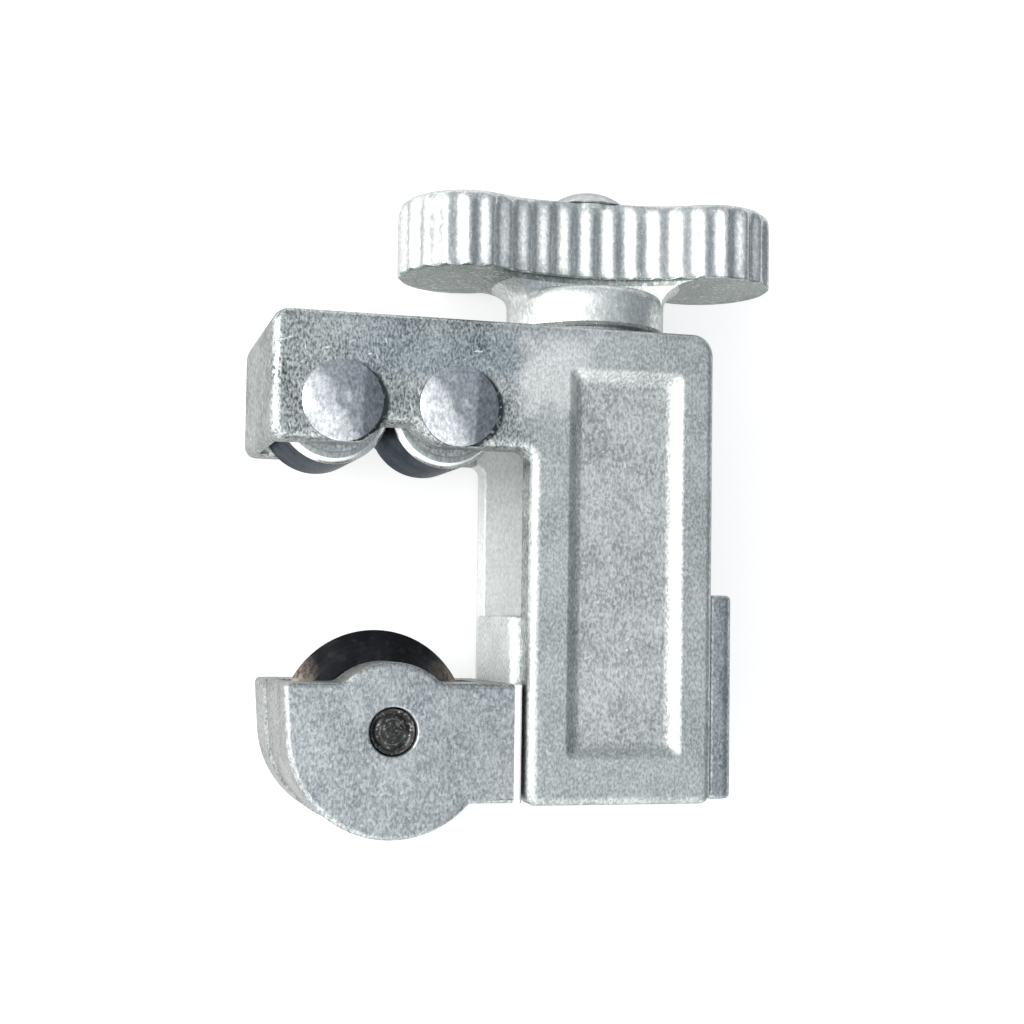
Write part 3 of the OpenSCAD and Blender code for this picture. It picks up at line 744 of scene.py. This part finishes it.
def buildFrame():
    s = sized(frameShape)
    back, top = bodyLow.z, bodyHigh.z
    piece = addOutline("frameCasting", frameOutline(s, s.frontCornerTop, s.smallCorner), back, top)
    # The arm's free end is drawn rounder towards the back
    backRing = sorted((v for v in piece.data.vertices if near(v.co.z, back)), key=lambda v: v.index)
    for vertex, point in zip(backRing, frameOutline(s, s.backCornerTop, s.backCornerFoot)):
        vertex.co.x, vertex.co.y = point
    bevelEdges(piece, onLevels(back, top), s.rimRound, 5)
    floorEdges, mouthEdges = sinkPanel(piece, s)

    # Slot through the column and channel under the arm
    foot, overrun = bodyLow.y - s.overrun, s.overrun
    low, high = midZ - s.slotWidth / 2, midZ + s.slotWidth / 2
    slotTop = bodyHigh.y - s.armHeight + s.slotLead
    rollers = [rollerAxis(node) for node in rollerNames]
    channelEnd = rollers[1].x + rollerRadius + s.runGap
    channelTop = rollers[1].y + rollerRadius + s.runGap
    slot = addBox("slotCutter", (channelEnd - mm, foot, low), (bodyHigh.x + overrun, slotTop, high))
    joinOn(slot, addBox("channelCutter", (bodyLow.x + s.endWall, foot, low), (channelEnd, channelTop, high)))
    cutAway(piece, slot)
    cutAway(piece, addRod("boreCutter", s.boreRadius, slotTop - overrun, bodyHigh.y + overrun,
                          (0, 0, midZ), "y"))
    for centre in rollers:
        cutAway(piece, addRod("sinkCutter", s.tailRadius, back - overrun, back + s.tailDepth,
                              (centre.x, centre.y, 0)))
    cleanFlats(piece)
    bevelEdges(piece, floorEdges, s.panelFloorRound, 5)
    bevelEdges(piece, mouthEdges, s.panelMouthRound, 3)
    walls = onLevels(low, high, least=50)
    bevelEdges(piece, lambda a, b, e: walls(a, b, e) and e.is_convex, s.slotRound, 3)
    finishPiece(piece, "frame", frameMetal, "frame")


buildFrame()


# Jaw casting: two cheeks about the wheel, a tongue in the slot and a flange behind the column
jawShape = {
    "left": 9.7, "rise": 4.2, "foot": 6.3, "radius": 9.4, "humpRadius": 6.05, "humpBlend": 1.5,
    "rightEdge": -8.25, "frontRound": 0.8, "backRound": 0.9, "cornerRound": 0.5,
    "partingHeight": 5.6, "partingStep": 0.05, "partingRound": 0.25, "rearShift": 0.35,
    "pocketRadius": 8.95, "pocketWidth": 5.8, "pocketRound": 0.12, "pinBore": 2.15, "boreRound": 0.18,
    "boreEdge": 2.25,
    "tongueLeft": -8.9, "tongueRight": 11.25, "tongueFoot": -20.75, "tongueTop": -4.65, "tongueWidth": 11.88,
    "tongueFrontRound": 1.0, "tongueBackRound": 1.7, "tongueTopRound": 0.3,
    "flangeLeft": 10.0, "flangeRight": 12.5, "flangeTop": -2.45, "flangeFoot": -21.25, "flangeWidth": 14.4,
    "flangeRound": 1.2, "flangeRimRound": 0.45,
    "screwBore": 3.05, "stopBore": 3.95, "stopTop": -15.95, "overrun": 2.0,
}


def jawOutline(s, inset):
    # Counter-clockwise from the foot's right end; every arc is about the wheel's axis or a hump blend
    blend = s.humpBlend + inset
    hump, radius = s.humpRadius - inset, s.radius - inset
    top, foot, left = s.rise - inset, s.foot - inset, s.left - inset
    blendY = top + blend
    blendX = sqrt((hump + blend) ** 2 - blendY ** 2)
    lean = degrees(atan2(blendY, blendX))
    right = s.rightEdge - wheelAxis.x
    cornerAngle = 180 - degrees(atan2(top, left)) + degrees(acos(radius / hypot(left, top)))
    footAngle = 360 - degrees(atan2(foot, sqrt(radius ** 2 - foot ** 2)))
    touch = (radius * cos(radians(cornerAngle)), radius * sin(radians(cornerAngle)))
    corner = roundCorners([(-left, top, s.cornerRound), (*touch, 0), (0, 0, 0), (-blendX, top, 0)], 5)[:6]
    points = [(right, -foot), (right, top)]
    points += arc((blendX, blendY), blend, 270, 180 + lean, 6)
    points += arc((0, 0), hump, lean, 180 - lean, 24)[1:-1]
    points += arc((-blendX, blendY), blend, 360 - lean, 270, 6)
    points += corner
    points += arc((0, 0), radius, cornerAngle, footAngle, 40)
    return [(wheelAxis.x + x, wheelAxis.y + y) for x, y in points]


def addCheeks(s):
    back, top = jawLow.z, jawHigh.z
    parting = back + s.partingHeight
    piece = addOutline("jawCasting", jawOutline(s, 0), parting, top)
    bevelEdges(piece, onLevels(top), s.frontRound, 5)
    bevelEdges(piece, onLevels(parting), s.partingRound, 3)
    rear = addOutline("jawRear", [(x - s.rearShift, y) for x, y in jawOutline(s, s.partingStep)],
                      back, parting + s.partingRound)
    bevelEdges(rear, onLevels(back), s.backRound, 5)
    joinOn(piece, rear)
    return piece


def addTongue(s):
    low, high = midZ - s.tongueWidth / 2, midZ + s.tongueWidth / 2
    tongue = addBox("tongue", (s.tongueLeft, s.tongueFoot, low), (s.tongueRight, s.tongueTop, high))
    atLeft = onLevels(s.tongueLeft, axis="x")
    for level, width in ((high, s.tongueFrontRound), (low, s.tongueBackRound)):
        flat = onLevels(level)
        bevelEdges(tongue, lambda a, b, e: flat(a, b, e) and atLeft(a, b, e), width, 6)
    bevelEdges(tongue, onLevels(s.tongueTop, axis="y"), s.tongueTopRound, 3)
    return tongue


def addFlange(s):
    low, high = midZ - s.flangeWidth / 2, midZ + s.flangeWidth / 2
    flange = addBox("flange", (s.flangeLeft, s.flangeFoot, low), (s.flangeRight, s.flangeTop, high))
    atRight = onLevels(s.flangeRight, axis="x")
    bevelEdges(flange, lambda a, b, e: atRight(a, b, e) and near(a.z, b.z), s.flangeRound, 6)
    bevelEdges(flange, lambda a, b, e: isSharp(e, 50), s.flangeRimRound, 3)
    return flange


def buildJaw():
    s = sized(jawShape)
    piece = addCheeks(s)
    joinOn(piece, addTongue(s))
    joinOn(piece, addFlange(s))

    # Pocket for the wheel, open at its top, then the bores for pin and screw
    low, high = midZ - s.pocketWidth / 2, midZ + s.pocketWidth / 2
    reach, overrun = s.pocketRadius, s.overrun
    mouth = arc(wheelAxis, reach, 180, 360, 48)
    mouth += [(wheelAxis.x + reach, wheelAxis.y + 2 * reach), (wheelAxis.x - reach, wheelAxis.y + 2 * reach)]
    cutAway(piece, addOutline("pocketCutter", mouth, low, high))
    cutAway(piece, addRod("pinCutter", s.pinBore, jawLow.z - overrun, jawHigh.z + overrun,
                          (wheelAxis.x, wheelAxis.y, 0)))
    foot, top = jawLow.y - overrun, s.flangeTop + overrun
    cutAway(piece, addLathe("screwCutter", [
        (0, foot), (s.stopBore, foot), (s.stopBore, s.stopTop), (s.screwBore, s.stopTop),
        (s.screwBore, top), (0, top)], (0, 0, midZ), "y", 64))
    cleanFlats(piece)
    bevelEdges(piece, onLevels(low, high, least=50), s.pocketRound, 2)
    faces = onLevels(jawLow.z, jawHigh.z, least=50)
    bevelEdges(piece, lambda a, b, e: faces(a, b, e) and hypot(a.x - wheelAxis.x, a.y - wheelAxis.y)
               < s.boreEdge, s.boreRound, 3)
    finishPiece(piece, "jaw", jawMetal, "jaw")


buildJaw()


# Wing knob: fluted rim round two lobes, flat underside, round hub
knobShape = {
    "planTurn": 5.4, "lobeReach": 11.9, "lobeRadius": 6.298, "waistHalf": 3.3,
    "hubFoot": 22.14, "wingFoot": 27.24, "wingTop": 34.44, "hubRadius": 7.5, "hubShoulder": 1.3,
    "hubRound": 1.1, "hubEdge": 0.25, "flareWide": 3.8, "flareHigh": 2.4, "flareLead": 0.2,
    "flareInset": 0.15, "fluteCount": 42, "fluteSteps": 8, "fluteDepth": 0.45, "topRound": 1.15,
    "footRound": 0.25, "endShare": 0.25, "fadeTop": 1.5, "fadeFoot": 0.3, "fadePower": 0.8,
    "squareHalf": 1.84, "collarRadius": 3.27, "collarHeight": 0.5, "collarDrop": 0.01,
    "crispHalf": 2.5, "crispBlend": 6.0, "crispShare": 0.22, "overlap": 1.0,
}


def turnToKnob(a, b, height):
    # From the knob's own plan (a along the wings, b across) to the scene
    turn = -radians(knobShape["planTurn"])
    return Vector((a * cos(turn) - b * sin(turn), height, midZ - (a * sin(turn) + b * cos(turn))))


def standUp(piece):
    # Turns a piece that was drawn in the knob's own plan
    for vertex in piece.data.vertices:
        vertex.co = turnToKnob(*vertex.co)
    faceOutwards(piece)
    return piece


def rimSizes(s):
    reach, radius, half = s.lobeReach, s.lobeRadius, s.waistHalf
    waistRadius = (reach ** 2 + half ** 2 - radius ** 2) / (2 * (radius - half))
    waistY = half + waistRadius
    lobeTurn = pi - atan2(waistY, reach)
    waistTurn = atan2(reach, waistY)
    return waistRadius, waistY, lobeTurn, waistTurn, 2 * lobeTurn * radius, 2 * waistTurn * waistRadius


def rimPoint(s, run, raised):
    # Point at a run along the plain rim, moved outwards by raised
    waistRadius, waistY, lobeTurn, waistTurn, lobeRun, waistRun = rimSizes(s)
    if run >= lobeRun + waistRun:
        a, b = rimPoint(s, run - lobeRun - waistRun, raised)
        return -a, -b
    if run < lobeRun:
        angle = -lobeTurn + run / s.lobeRadius
        return s.lobeReach + (s.lobeRadius + raised) * cos(angle), (s.lobeRadius + raised) * sin(angle)
    angle = waistTurn - (run - lobeRun) / waistRadius
    return (waistRadius - raised) * sin(angle), waistY - (waistRadius - raised) * cos(angle)


def rimProfile(s):
    # (height, inset, share of the flutes' depth) from the underside over the rim to the top
    foot, top, low, high = s.wingFoot, s.wingTop, s.footRound, s.topRound
    rows = [(foot + low * (1 - c), low * (1 - n)) for n, c in quarterTurn(4)]
    rows += [(foot + low + (top - high - foot - low) * step / 8, 0) for step in range(1, 8)]
    rows += [(top - high * (1 - n), high * (1 - c)) for n, c in quarterTurn(7)]
    return [(height, inset, min(1, max(0, (height - foot) / s.fadeFoot),
                                max(0, (top - height) / s.fadeTop) ** s.fadePower))
            for height, inset in rows]


def addWings(s):
    rows = rimProfile(s)
    lobeRun, waistRun = rimSizes(s)[4:]
    rimRun = 2 * (lobeRun + waistRun)
    around = s.fluteCount * s.fluteSteps

    def place(u, v):
        height, inset, share = rows[round(v * (len(rows) - 1))]
        run = rimRun * (round(u * around) % around) / around
        ridge = sin(pi * s.fluteCount * run / rimRun) ** 2
        out = min(1, max(0, (abs(rimPoint(s, run, 0)[0]) - s.crispHalf) / s.crispBlend))
        inset *= s.crispShare + (1 - s.crispShare) * out * out * (3 - 2 * out)
        sunk = share * (1 - ridge) + s.endShare * (1 - share)
        return turnToKnob(*rimPoint(s, run, -inset - s.fluteDepth * sunk), height)

    piece = addSheet("wingKnob", around, len(rows) - 1, place)
    startEdit(piece, "EDGE")
    for level in (s.wingFoot, s.wingTop):
        pickEdges(piece, lambda a, b, e: len(e.link_faces) == 1 and near(a.y, level) and near(b.y, level))
        bpy.ops.mesh.edge_face_add()
    endEdit()
    faceOutwards(piece)
    inside = [rimPoint(s, rimRun * step / around, -s.fluteDepth - s.flareInset) for step in range(around)]
    return piece, inside


def buildKnob():
    s = sized(knobShape)
    piece, inside = addWings(s)
    axis = (0, 0, midZ)

    # Fillet between hub and wings, kept within the rim, then the round hub and the screw's collar
    wide, high, radius, foot = s.flareWide, s.flareHigh, s.hubRadius, s.wingFoot
    start, end = foot - high - s.flareLead, foot + s.overlap
    curve = [(radius + wide * (1 - c), foot - high * (1 - n)) for n, c in quarterTurn(12)]
    neck = addLathe("hubNeck", [(0, start), (radius, start)] + curve + [(radius + wide, end), (0, end)],
                    axis, "y", 128)
    combine(neck, standUp(addOutline("neckPrism", inside, s.hubFoot, s.wingTop - s.overlap)), "INTERSECT")
    joinOn(piece, neck)
    shoulder, soft, edge = foot - s.hubShoulder, s.hubRound, s.hubEdge
    rounded = [(radius - soft * (1 - c), shoulder - soft * (1 - n)) for n, c in quarterTurn(4)]
    joinOn(piece, addLathe("hub", [(0, s.hubFoot), (radius - edge, s.hubFoot), (radius, s.hubFoot + edge)]
                           + rounded + [(0, shoulder)], axis, "y", 128))
    joinOn(piece, addRod("collar", s.collarRadius, s.wingTop - s.collarHeight,
                         s.wingTop - s.collarDrop, axis, "y", 96))
    side = s.squareHalf
    cutAway(piece, standUp(addBox("squareCutter", (-side, -side, s.hubFoot - s.overlap),
                                  (side, side, s.wingTop + s.overlap))))
    finishPiece(piece, "knob", knobMetal, "knob", 40)


buildKnob()


# Feed screw with its helical thread, groove for the clip, square and riveted dome
screwShape = {
    "foot": -19.3, "neckRadius": 2.2, "neckTop": -17.95, "threadTop": 9.98, "pitch": 1.0, "radius": 3.0,
    "depth": 0.5, "flankShare": 0.3, "rootShare": 0.25, "threadSteps": 336, "aroundSteps": 48,
    "grooveFoot": 10.38, "grooveTop": 11.16, "grooveRadius": 2.3, "journalTop": 22.14,
    "squareHalf": 1.8, "squareTop": 34.88, "domeFoot": 34.48, "domeRadius": 3.9, "domeHeight": 1.6,
    "edge": 0.15, "overlap": 1.0,
}


def buildScrew():
    s = sized(screwShape)
    radius, edge, start, end = s.radius, s.edge, s.neckTop, s.threadTop

    def threadRadius(height, u):
        wave = ((height - start) / s.pitch - u) % 1
        flank = min(1, max(0, (0.5 - abs(wave - 0.5)) / s.flankShare - s.rootShare))
        ends = min(1, (height - start) / s.pitch, (end - height) / s.pitch)
        return radius - s.depth * (1 - flank * max(0, ends))

    rows = [(s.foot, 0), (s.foot, s.neckRadius - edge), (s.foot + edge, s.neckRadius),
            (start, s.neckRadius)]
    rows += [(start + (end - start) * step / s.threadSteps, None) for step in range(s.threadSteps + 1)]
    rows += [(end + 2 * edge, radius), (s.grooveFoot, radius), (s.grooveFoot, s.grooveRadius),
             (s.grooveTop, s.grooveRadius), (s.grooveTop, radius), (s.journalTop, radius),
             (s.journalTop, 0)]

    def place(u, v):
        height, fixed = rows[round(v * (len(rows) - 1))]
        away = threadRadius(height, u) if fixed is None else fixed
        return (away * sin(2 * pi * u), height, midZ + away * cos(2 * pi * u))

    piece = addSheet("feedScrew", s.aroundSteps, len(rows) - 1, place)
    half = s.squareHalf
    joinOn(piece, standUp(addBox("screwSquare", (-half, -half, s.journalTop - s.overlap),
                                 (half, half, s.squareTop))))
    reach, top = s.domeRadius, s.domeFoot + s.domeHeight
    cap = domeCap(reach, s.domeHeight, top, 14) + [(0, top)]
    joinOn(piece, addLathe("screwDome", [(0, s.domeFoot), (reach - edge, s.domeFoot)] + cap,
                           (0, 0, midZ), "y", 64))
    finishPiece(piece, "knob", screwMetal, "feed_screw", 35)


buildScrew()


# Rivets: domed head with a centre mark, shank, countersunk tail
rivetShape = {
    "shank": 1.95, "headRadius": 3.56, "headHeight": 1.3, "headEdge": 0.34, "tail": 3.1, "tailDepth": 1.2,
    "mark": 0.75, "markDepth": 0.09, "markFloor": 0.3, "seat": 0.01,
}


def buildRivet(node):
    s = sized(rivetShape)
    centre = rollerAxis(node.replace("roller_rivet", "roller"))
    back, seat, top = bodyLow.z, bodyHigh.z - s.seat, bodyHigh.z + s.headHeight
    cap = [(away, height - s.markDepth * max(0, 1 - (away / s.mark) ** 2))
           for away, height in domeCap(s.headRadius, s.headHeight - s.headEdge, top, 18)[:-1]]
    apex = top - s.markDepth
    profile = [(0, back), (s.tail, back), (s.shank, back + s.tailDepth), (s.shank, seat),
               (s.headRadius, seat)] + cap + [(s.markFloor, apex), (0, apex)]
    piece = addLathe(node + "Steel", profile, (centre.x, centre.y, 0))
    finishPiece(piece, "frame", rivetMetal, node, 35)


for rivet in ("roller_rivet_left", "roller_rivet_right"):
    buildRivet(rivet)


# Rollers: turned rings with chamfered ends
rollerShape = {
    "bore": 2.0, "chamfer": 0.42, "soften": 0.08, "edgeShare": 0.3, "faceStep": 0.02, "faceRadius": 3.2,
}


def mirrored(upper):
    # A closed ring's profile from the half above its middle
    lower = [(away, -height) for away, height in upper]
    return [lower[0]] + upper + lower[::-1]


def buildRoller(node):
    s = sized(rollerShape)
    top = (rollerHigh.z - rollerLow.z) / 2
    radius, chamfer, soft = rollerRadius, s.chamfer, s.soften
    upper = [(s.bore, top - s.faceStep), (s.faceRadius, top - s.faceStep),
             (s.faceRadius + soft, top), (radius - chamfer - soft, top),
             (radius - chamfer, top - soft * s.edgeShare), (radius - soft * s.edgeShare, top - chamfer),
             (radius, top - chamfer - soft)]
    piece = addLathe(node + "Ring", mirrored(upper), rollerAxis(node), "z", 128)
    finishPiece(piece, node, rollerMetals[node], node, 30)


for roller in rollerNames:
    buildRoller(roller)


# Cutting wheel: hub, disc and a ground bevel on each side down to the edge
wheelShape = {
    "bore": 2.17, "hub": 4.0, "hubHalf": 2.45, "discHalf": 1.4, "bevel": 3.0, "flank": 1.7,
    "flankHalf": 1.05, "edgeHalf": 0.06, "tipHalf": 0.03,
    "soften": 0.12, "discShare": 0.2, "bevelShare": 0.3, "flankShare": 0.5,
}


def buildWheel():
    s = sized(wheelShape)
    soft, hub, disc = s.soften, s.hubHalf, s.discHalf
    bevel, flank = wheelRadius - s.bevel, wheelRadius - s.flank
    upper = [(s.bore, hub), (s.hub - soft, hub), (s.hub, hub - soft), (s.hub, disc + soft),
             (s.hub + soft, disc), (bevel - soft, disc), (bevel + soft, disc - soft * s.discShare),
             (flank - soft, s.flankHalf + soft * s.bevelShare),
             (flank + soft, s.flankHalf - soft * s.flankShare),
             (wheelRadius - soft, s.edgeHalf + soft * s.flankShare), (wheelRadius, s.tipHalf)]
    piece = addLathe("cuttingWheel", mirrored(upper), wheelAxis, "z", 160)
    finishPiece(piece, "cutter_wheel", wheelMetal, "cutter_wheel", 25)


buildWheel()


# Wheel pin: its sheared ends are rough and carry a fine ring
pinShape = {
    "radius": 2.12, "chamfer": 0.28, "shoulder": 2.008, "shoulderDrop": 0.08, "roughness": 0.16,
    "sunk": 0.06, "ringRadius": 1.54, "ringHalf": 0.2, "ringDepth": 0.14,
    "rings": (0.0, 0.35, 0.7, 1.05, 1.32, 1.44, 1.56, 1.68, 1.76),
    "slowCount": 3, "slowTurn": 1.1, "slowRunTurn": 2.6, "fastCount": 5, "fastRunTurn": 4, "fastShare": 0.6,
}


def buildPin():
    s = sized(pinShape)
    low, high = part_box("wheel_pin")
    ends = [(away, 0) for away in s.rings] + [(s.shoulder, s.shoulderDrop), (s.radius, s.chamfer)]

    def rough(away, turn):
        # Two crossed waves, and the ring that the shears leave
        run = away / mm
        wave = sin(s.slowCount * turn + s.slowTurn) * cos(s.slowRunTurn * run)
        wave += s.fastShare * sin(s.fastCount * turn + s.fastRunTurn * run)
        ring = s.ringDepth * max(0, 1 - abs(away - s.ringRadius) / s.ringHalf)
        return s.sunk + s.roughness * min(1, run) * (0.5 + 0.5 * wave / (1 + s.fastShare)) + ring

    profile = [(away, low.z + drop, 1) for away, drop in ends]
    profile += [(away, high.z - drop, -1) for away, drop in ends[::-1]]

    def place(u, v):
        away, height, inward = profile[round(v * (len(profile) - 1))]
        turn = 2 * pi * u
        if away < s.radius - s.chamfer:
            height += inward * rough(away, turn)
        return (wheelAxis.x + away * cos(turn), wheelAxis.y + away * sin(turn), height)

    piece = addSheet("wheelPin", 48, len(profile) - 1, place)
    finishPiece(piece, "jaw", pinMetal, "wheel_pin", 30)


buildPin()


# Plain finishes for the nodes whose shape already is right
for name in ("roller_washers_left", "roller_washers_right", "wheel_washer_front", "wheel_washer_back",
             "thrust_washer", "clip_washer", "screw_stop"):
    dress(nodes[name], washerMetal)
dress(nodes["retaining_clip"], clipMetal)


# Camera at the photograph's place
view = {
    "place": (-49.95, -5.69, 146.67), "tilt": 0.043, "pan": -0.249, "roll": 0.016,
    "lens": 53.64, "sensor": 36, "shiftX": 0.080, "shiftY": 0.047, "near": 0.005, "far": 10,
}


def addObject(name, data, place):
    piece = bpy.data.objects.new(name, data)
    bpy.context.scene.collection.objects.link(piece)
    piece.location = inScene(place)
    return piece


def addCamera():
    data = bpy.data.cameras.new("photoCamera")
    data.lens, data.sensor_width = view["lens"], view["sensor"]
    data.shift_x, data.shift_y = view["shiftX"], view["shiftY"]
    data.clip_start, data.clip_end = view["near"], view["far"]
    camera = addObject("photoCamera", data, view["place"])
    camera.rotation_mode = "ZXY"
    camera.rotation_euler = Euler((view["tilt"], view["pan"], view["roll"]), "ZXY")
    bpy.context.scene.camera = camera


# Pale floor that also glows a little towards the camera and in reflections
floorLook = {"size": 3, "drop": 0.02, "colour": (0.5, 0.5, 0.5), "glow": 0.62}


def addFloor():
    deselectAll()
    place = (0, 0, cadLowest - floorLook["drop"] * mm)
    bpy.ops.mesh.primitive_plane_add(size=floorLook["size"], location=place)
    floor = bpy.context.object
    floor.name = "floor"
    material = bpy.data.materials.new("paleFloor")
    tree = emptyTree(material)
    matte = wire(tree, "BsdfDiffuse", {"Color": floorLook["colour"]})
    path = wire(tree, "LightPath")
    seen = mathNode(tree, "ADD", path["Is Camera Ray"], path["Is Glossy Ray"])
    seen = mathNode(tree, "ADD", seen, path["Is Transmission Ray"], clamp=True)
    strength = mathNode(tree, "MULTIPLY", seen, floorLook["glow"])
    glow = wire(tree, "Emission", {"Strength": strength})
    both = wire(tree, "AddShader", {0: matte["BSDF"], 1: glow["Emission"]})
    wire(tree, "OutputMaterial", {"Surface": both["Shader"]})
    dress(floor, material)


# One soft lamp on the left
lampLook = {"place": (-230, 40, 150), "size": (150, 150), "power": 0.44, "colour": (1, 1, 1)}


def addLamp():
    data = bpy.data.lights.new("leftPanel", "AREA")
    data.shape = "RECTANGLE"
    data.size, data.size_y = inScene(lampLook["size"])
    data.energy, data.color = lampLook["power"], lampLook["colour"]
    light = addObject("leftPanel", data, lampLook["place"])
    aim = Vector((0, 0, midZ)) - light.location
    light.rotation_euler = aim.to_track_quat("-Z", "Y").to_euler()


# What the world shows from lower left to upper right: place along that axis from -1 to 1, and colour;
# beyond shadeFrom it is dark on the right
skyLook = {
    "bands": ((-1.0, (0.85, 0.85, 0.85)), (-0.45, (1.0, 1.0, 1.0)), (-0.02, (0.66, 0.67, 0.68)),
              (0.20, (0.31, 0.33, 0.35)), (1.0, (0.22, 0.245, 0.275))),
    "axis": (0.88, 0.50), "shadeFrom": 0.60, "shadeTo": 0.63, "shade": (0.115, 0.13, 0.145), "strength": 1.7,
}


def addSky():
    # A pale room: bright on the left, darker and cooler on the right; white behind the object
    look = Names(**skyLook)
    world = bpy.data.worlds.new("studio")
    bpy.context.scene.world = world
    tree = emptyTree(world)
    aim = splitVector(tree, wire(tree, "TexCoord")["Generated"])
    along = addShares(tree, aim["X"], look.axis[0], aim["Y"], look.axis[1])
    bands = addNode(tree, "ShaderNodeValToRGB")
    ramp = bands.color_ramp
    while len(ramp.elements) < len(look.bands):
        ramp.elements.new(0.5)
    for element, (place, colour) in zip(ramp.elements, look.bands):
        element.position = (place + 1) / 2
        element.color = (*colour, 1)
    banded = feedAll(tree, bands, {"Fac": stretchRange(tree, along, -1.0, 1.0)})["Color"]
    shaded = mix(tree, stretchRange(tree, aim["X"], look.shadeFrom, look.shadeTo), banded, look.shade)
    sky = wire(tree, "Background", {"Color": shaded, "Strength": look.strength})
    white = wire(tree, "Background", {"Color": (1, 1, 1)})
    seen = wire(tree, "LightPath")["Is Camera Ray"]
    chosen = wire(tree, "MixShader", {
        "Fac": seen, 1: sky["Background"], 2: white["Background"]})
    wire(tree, "OutputWorld", {"Surface": chosen["Shader"]})


addCamera()
addFloor()
addLamp()
addSky()
bpy.context.scene.view_settings.view_transform = "Standard"
print("stage set")

deselectAll()
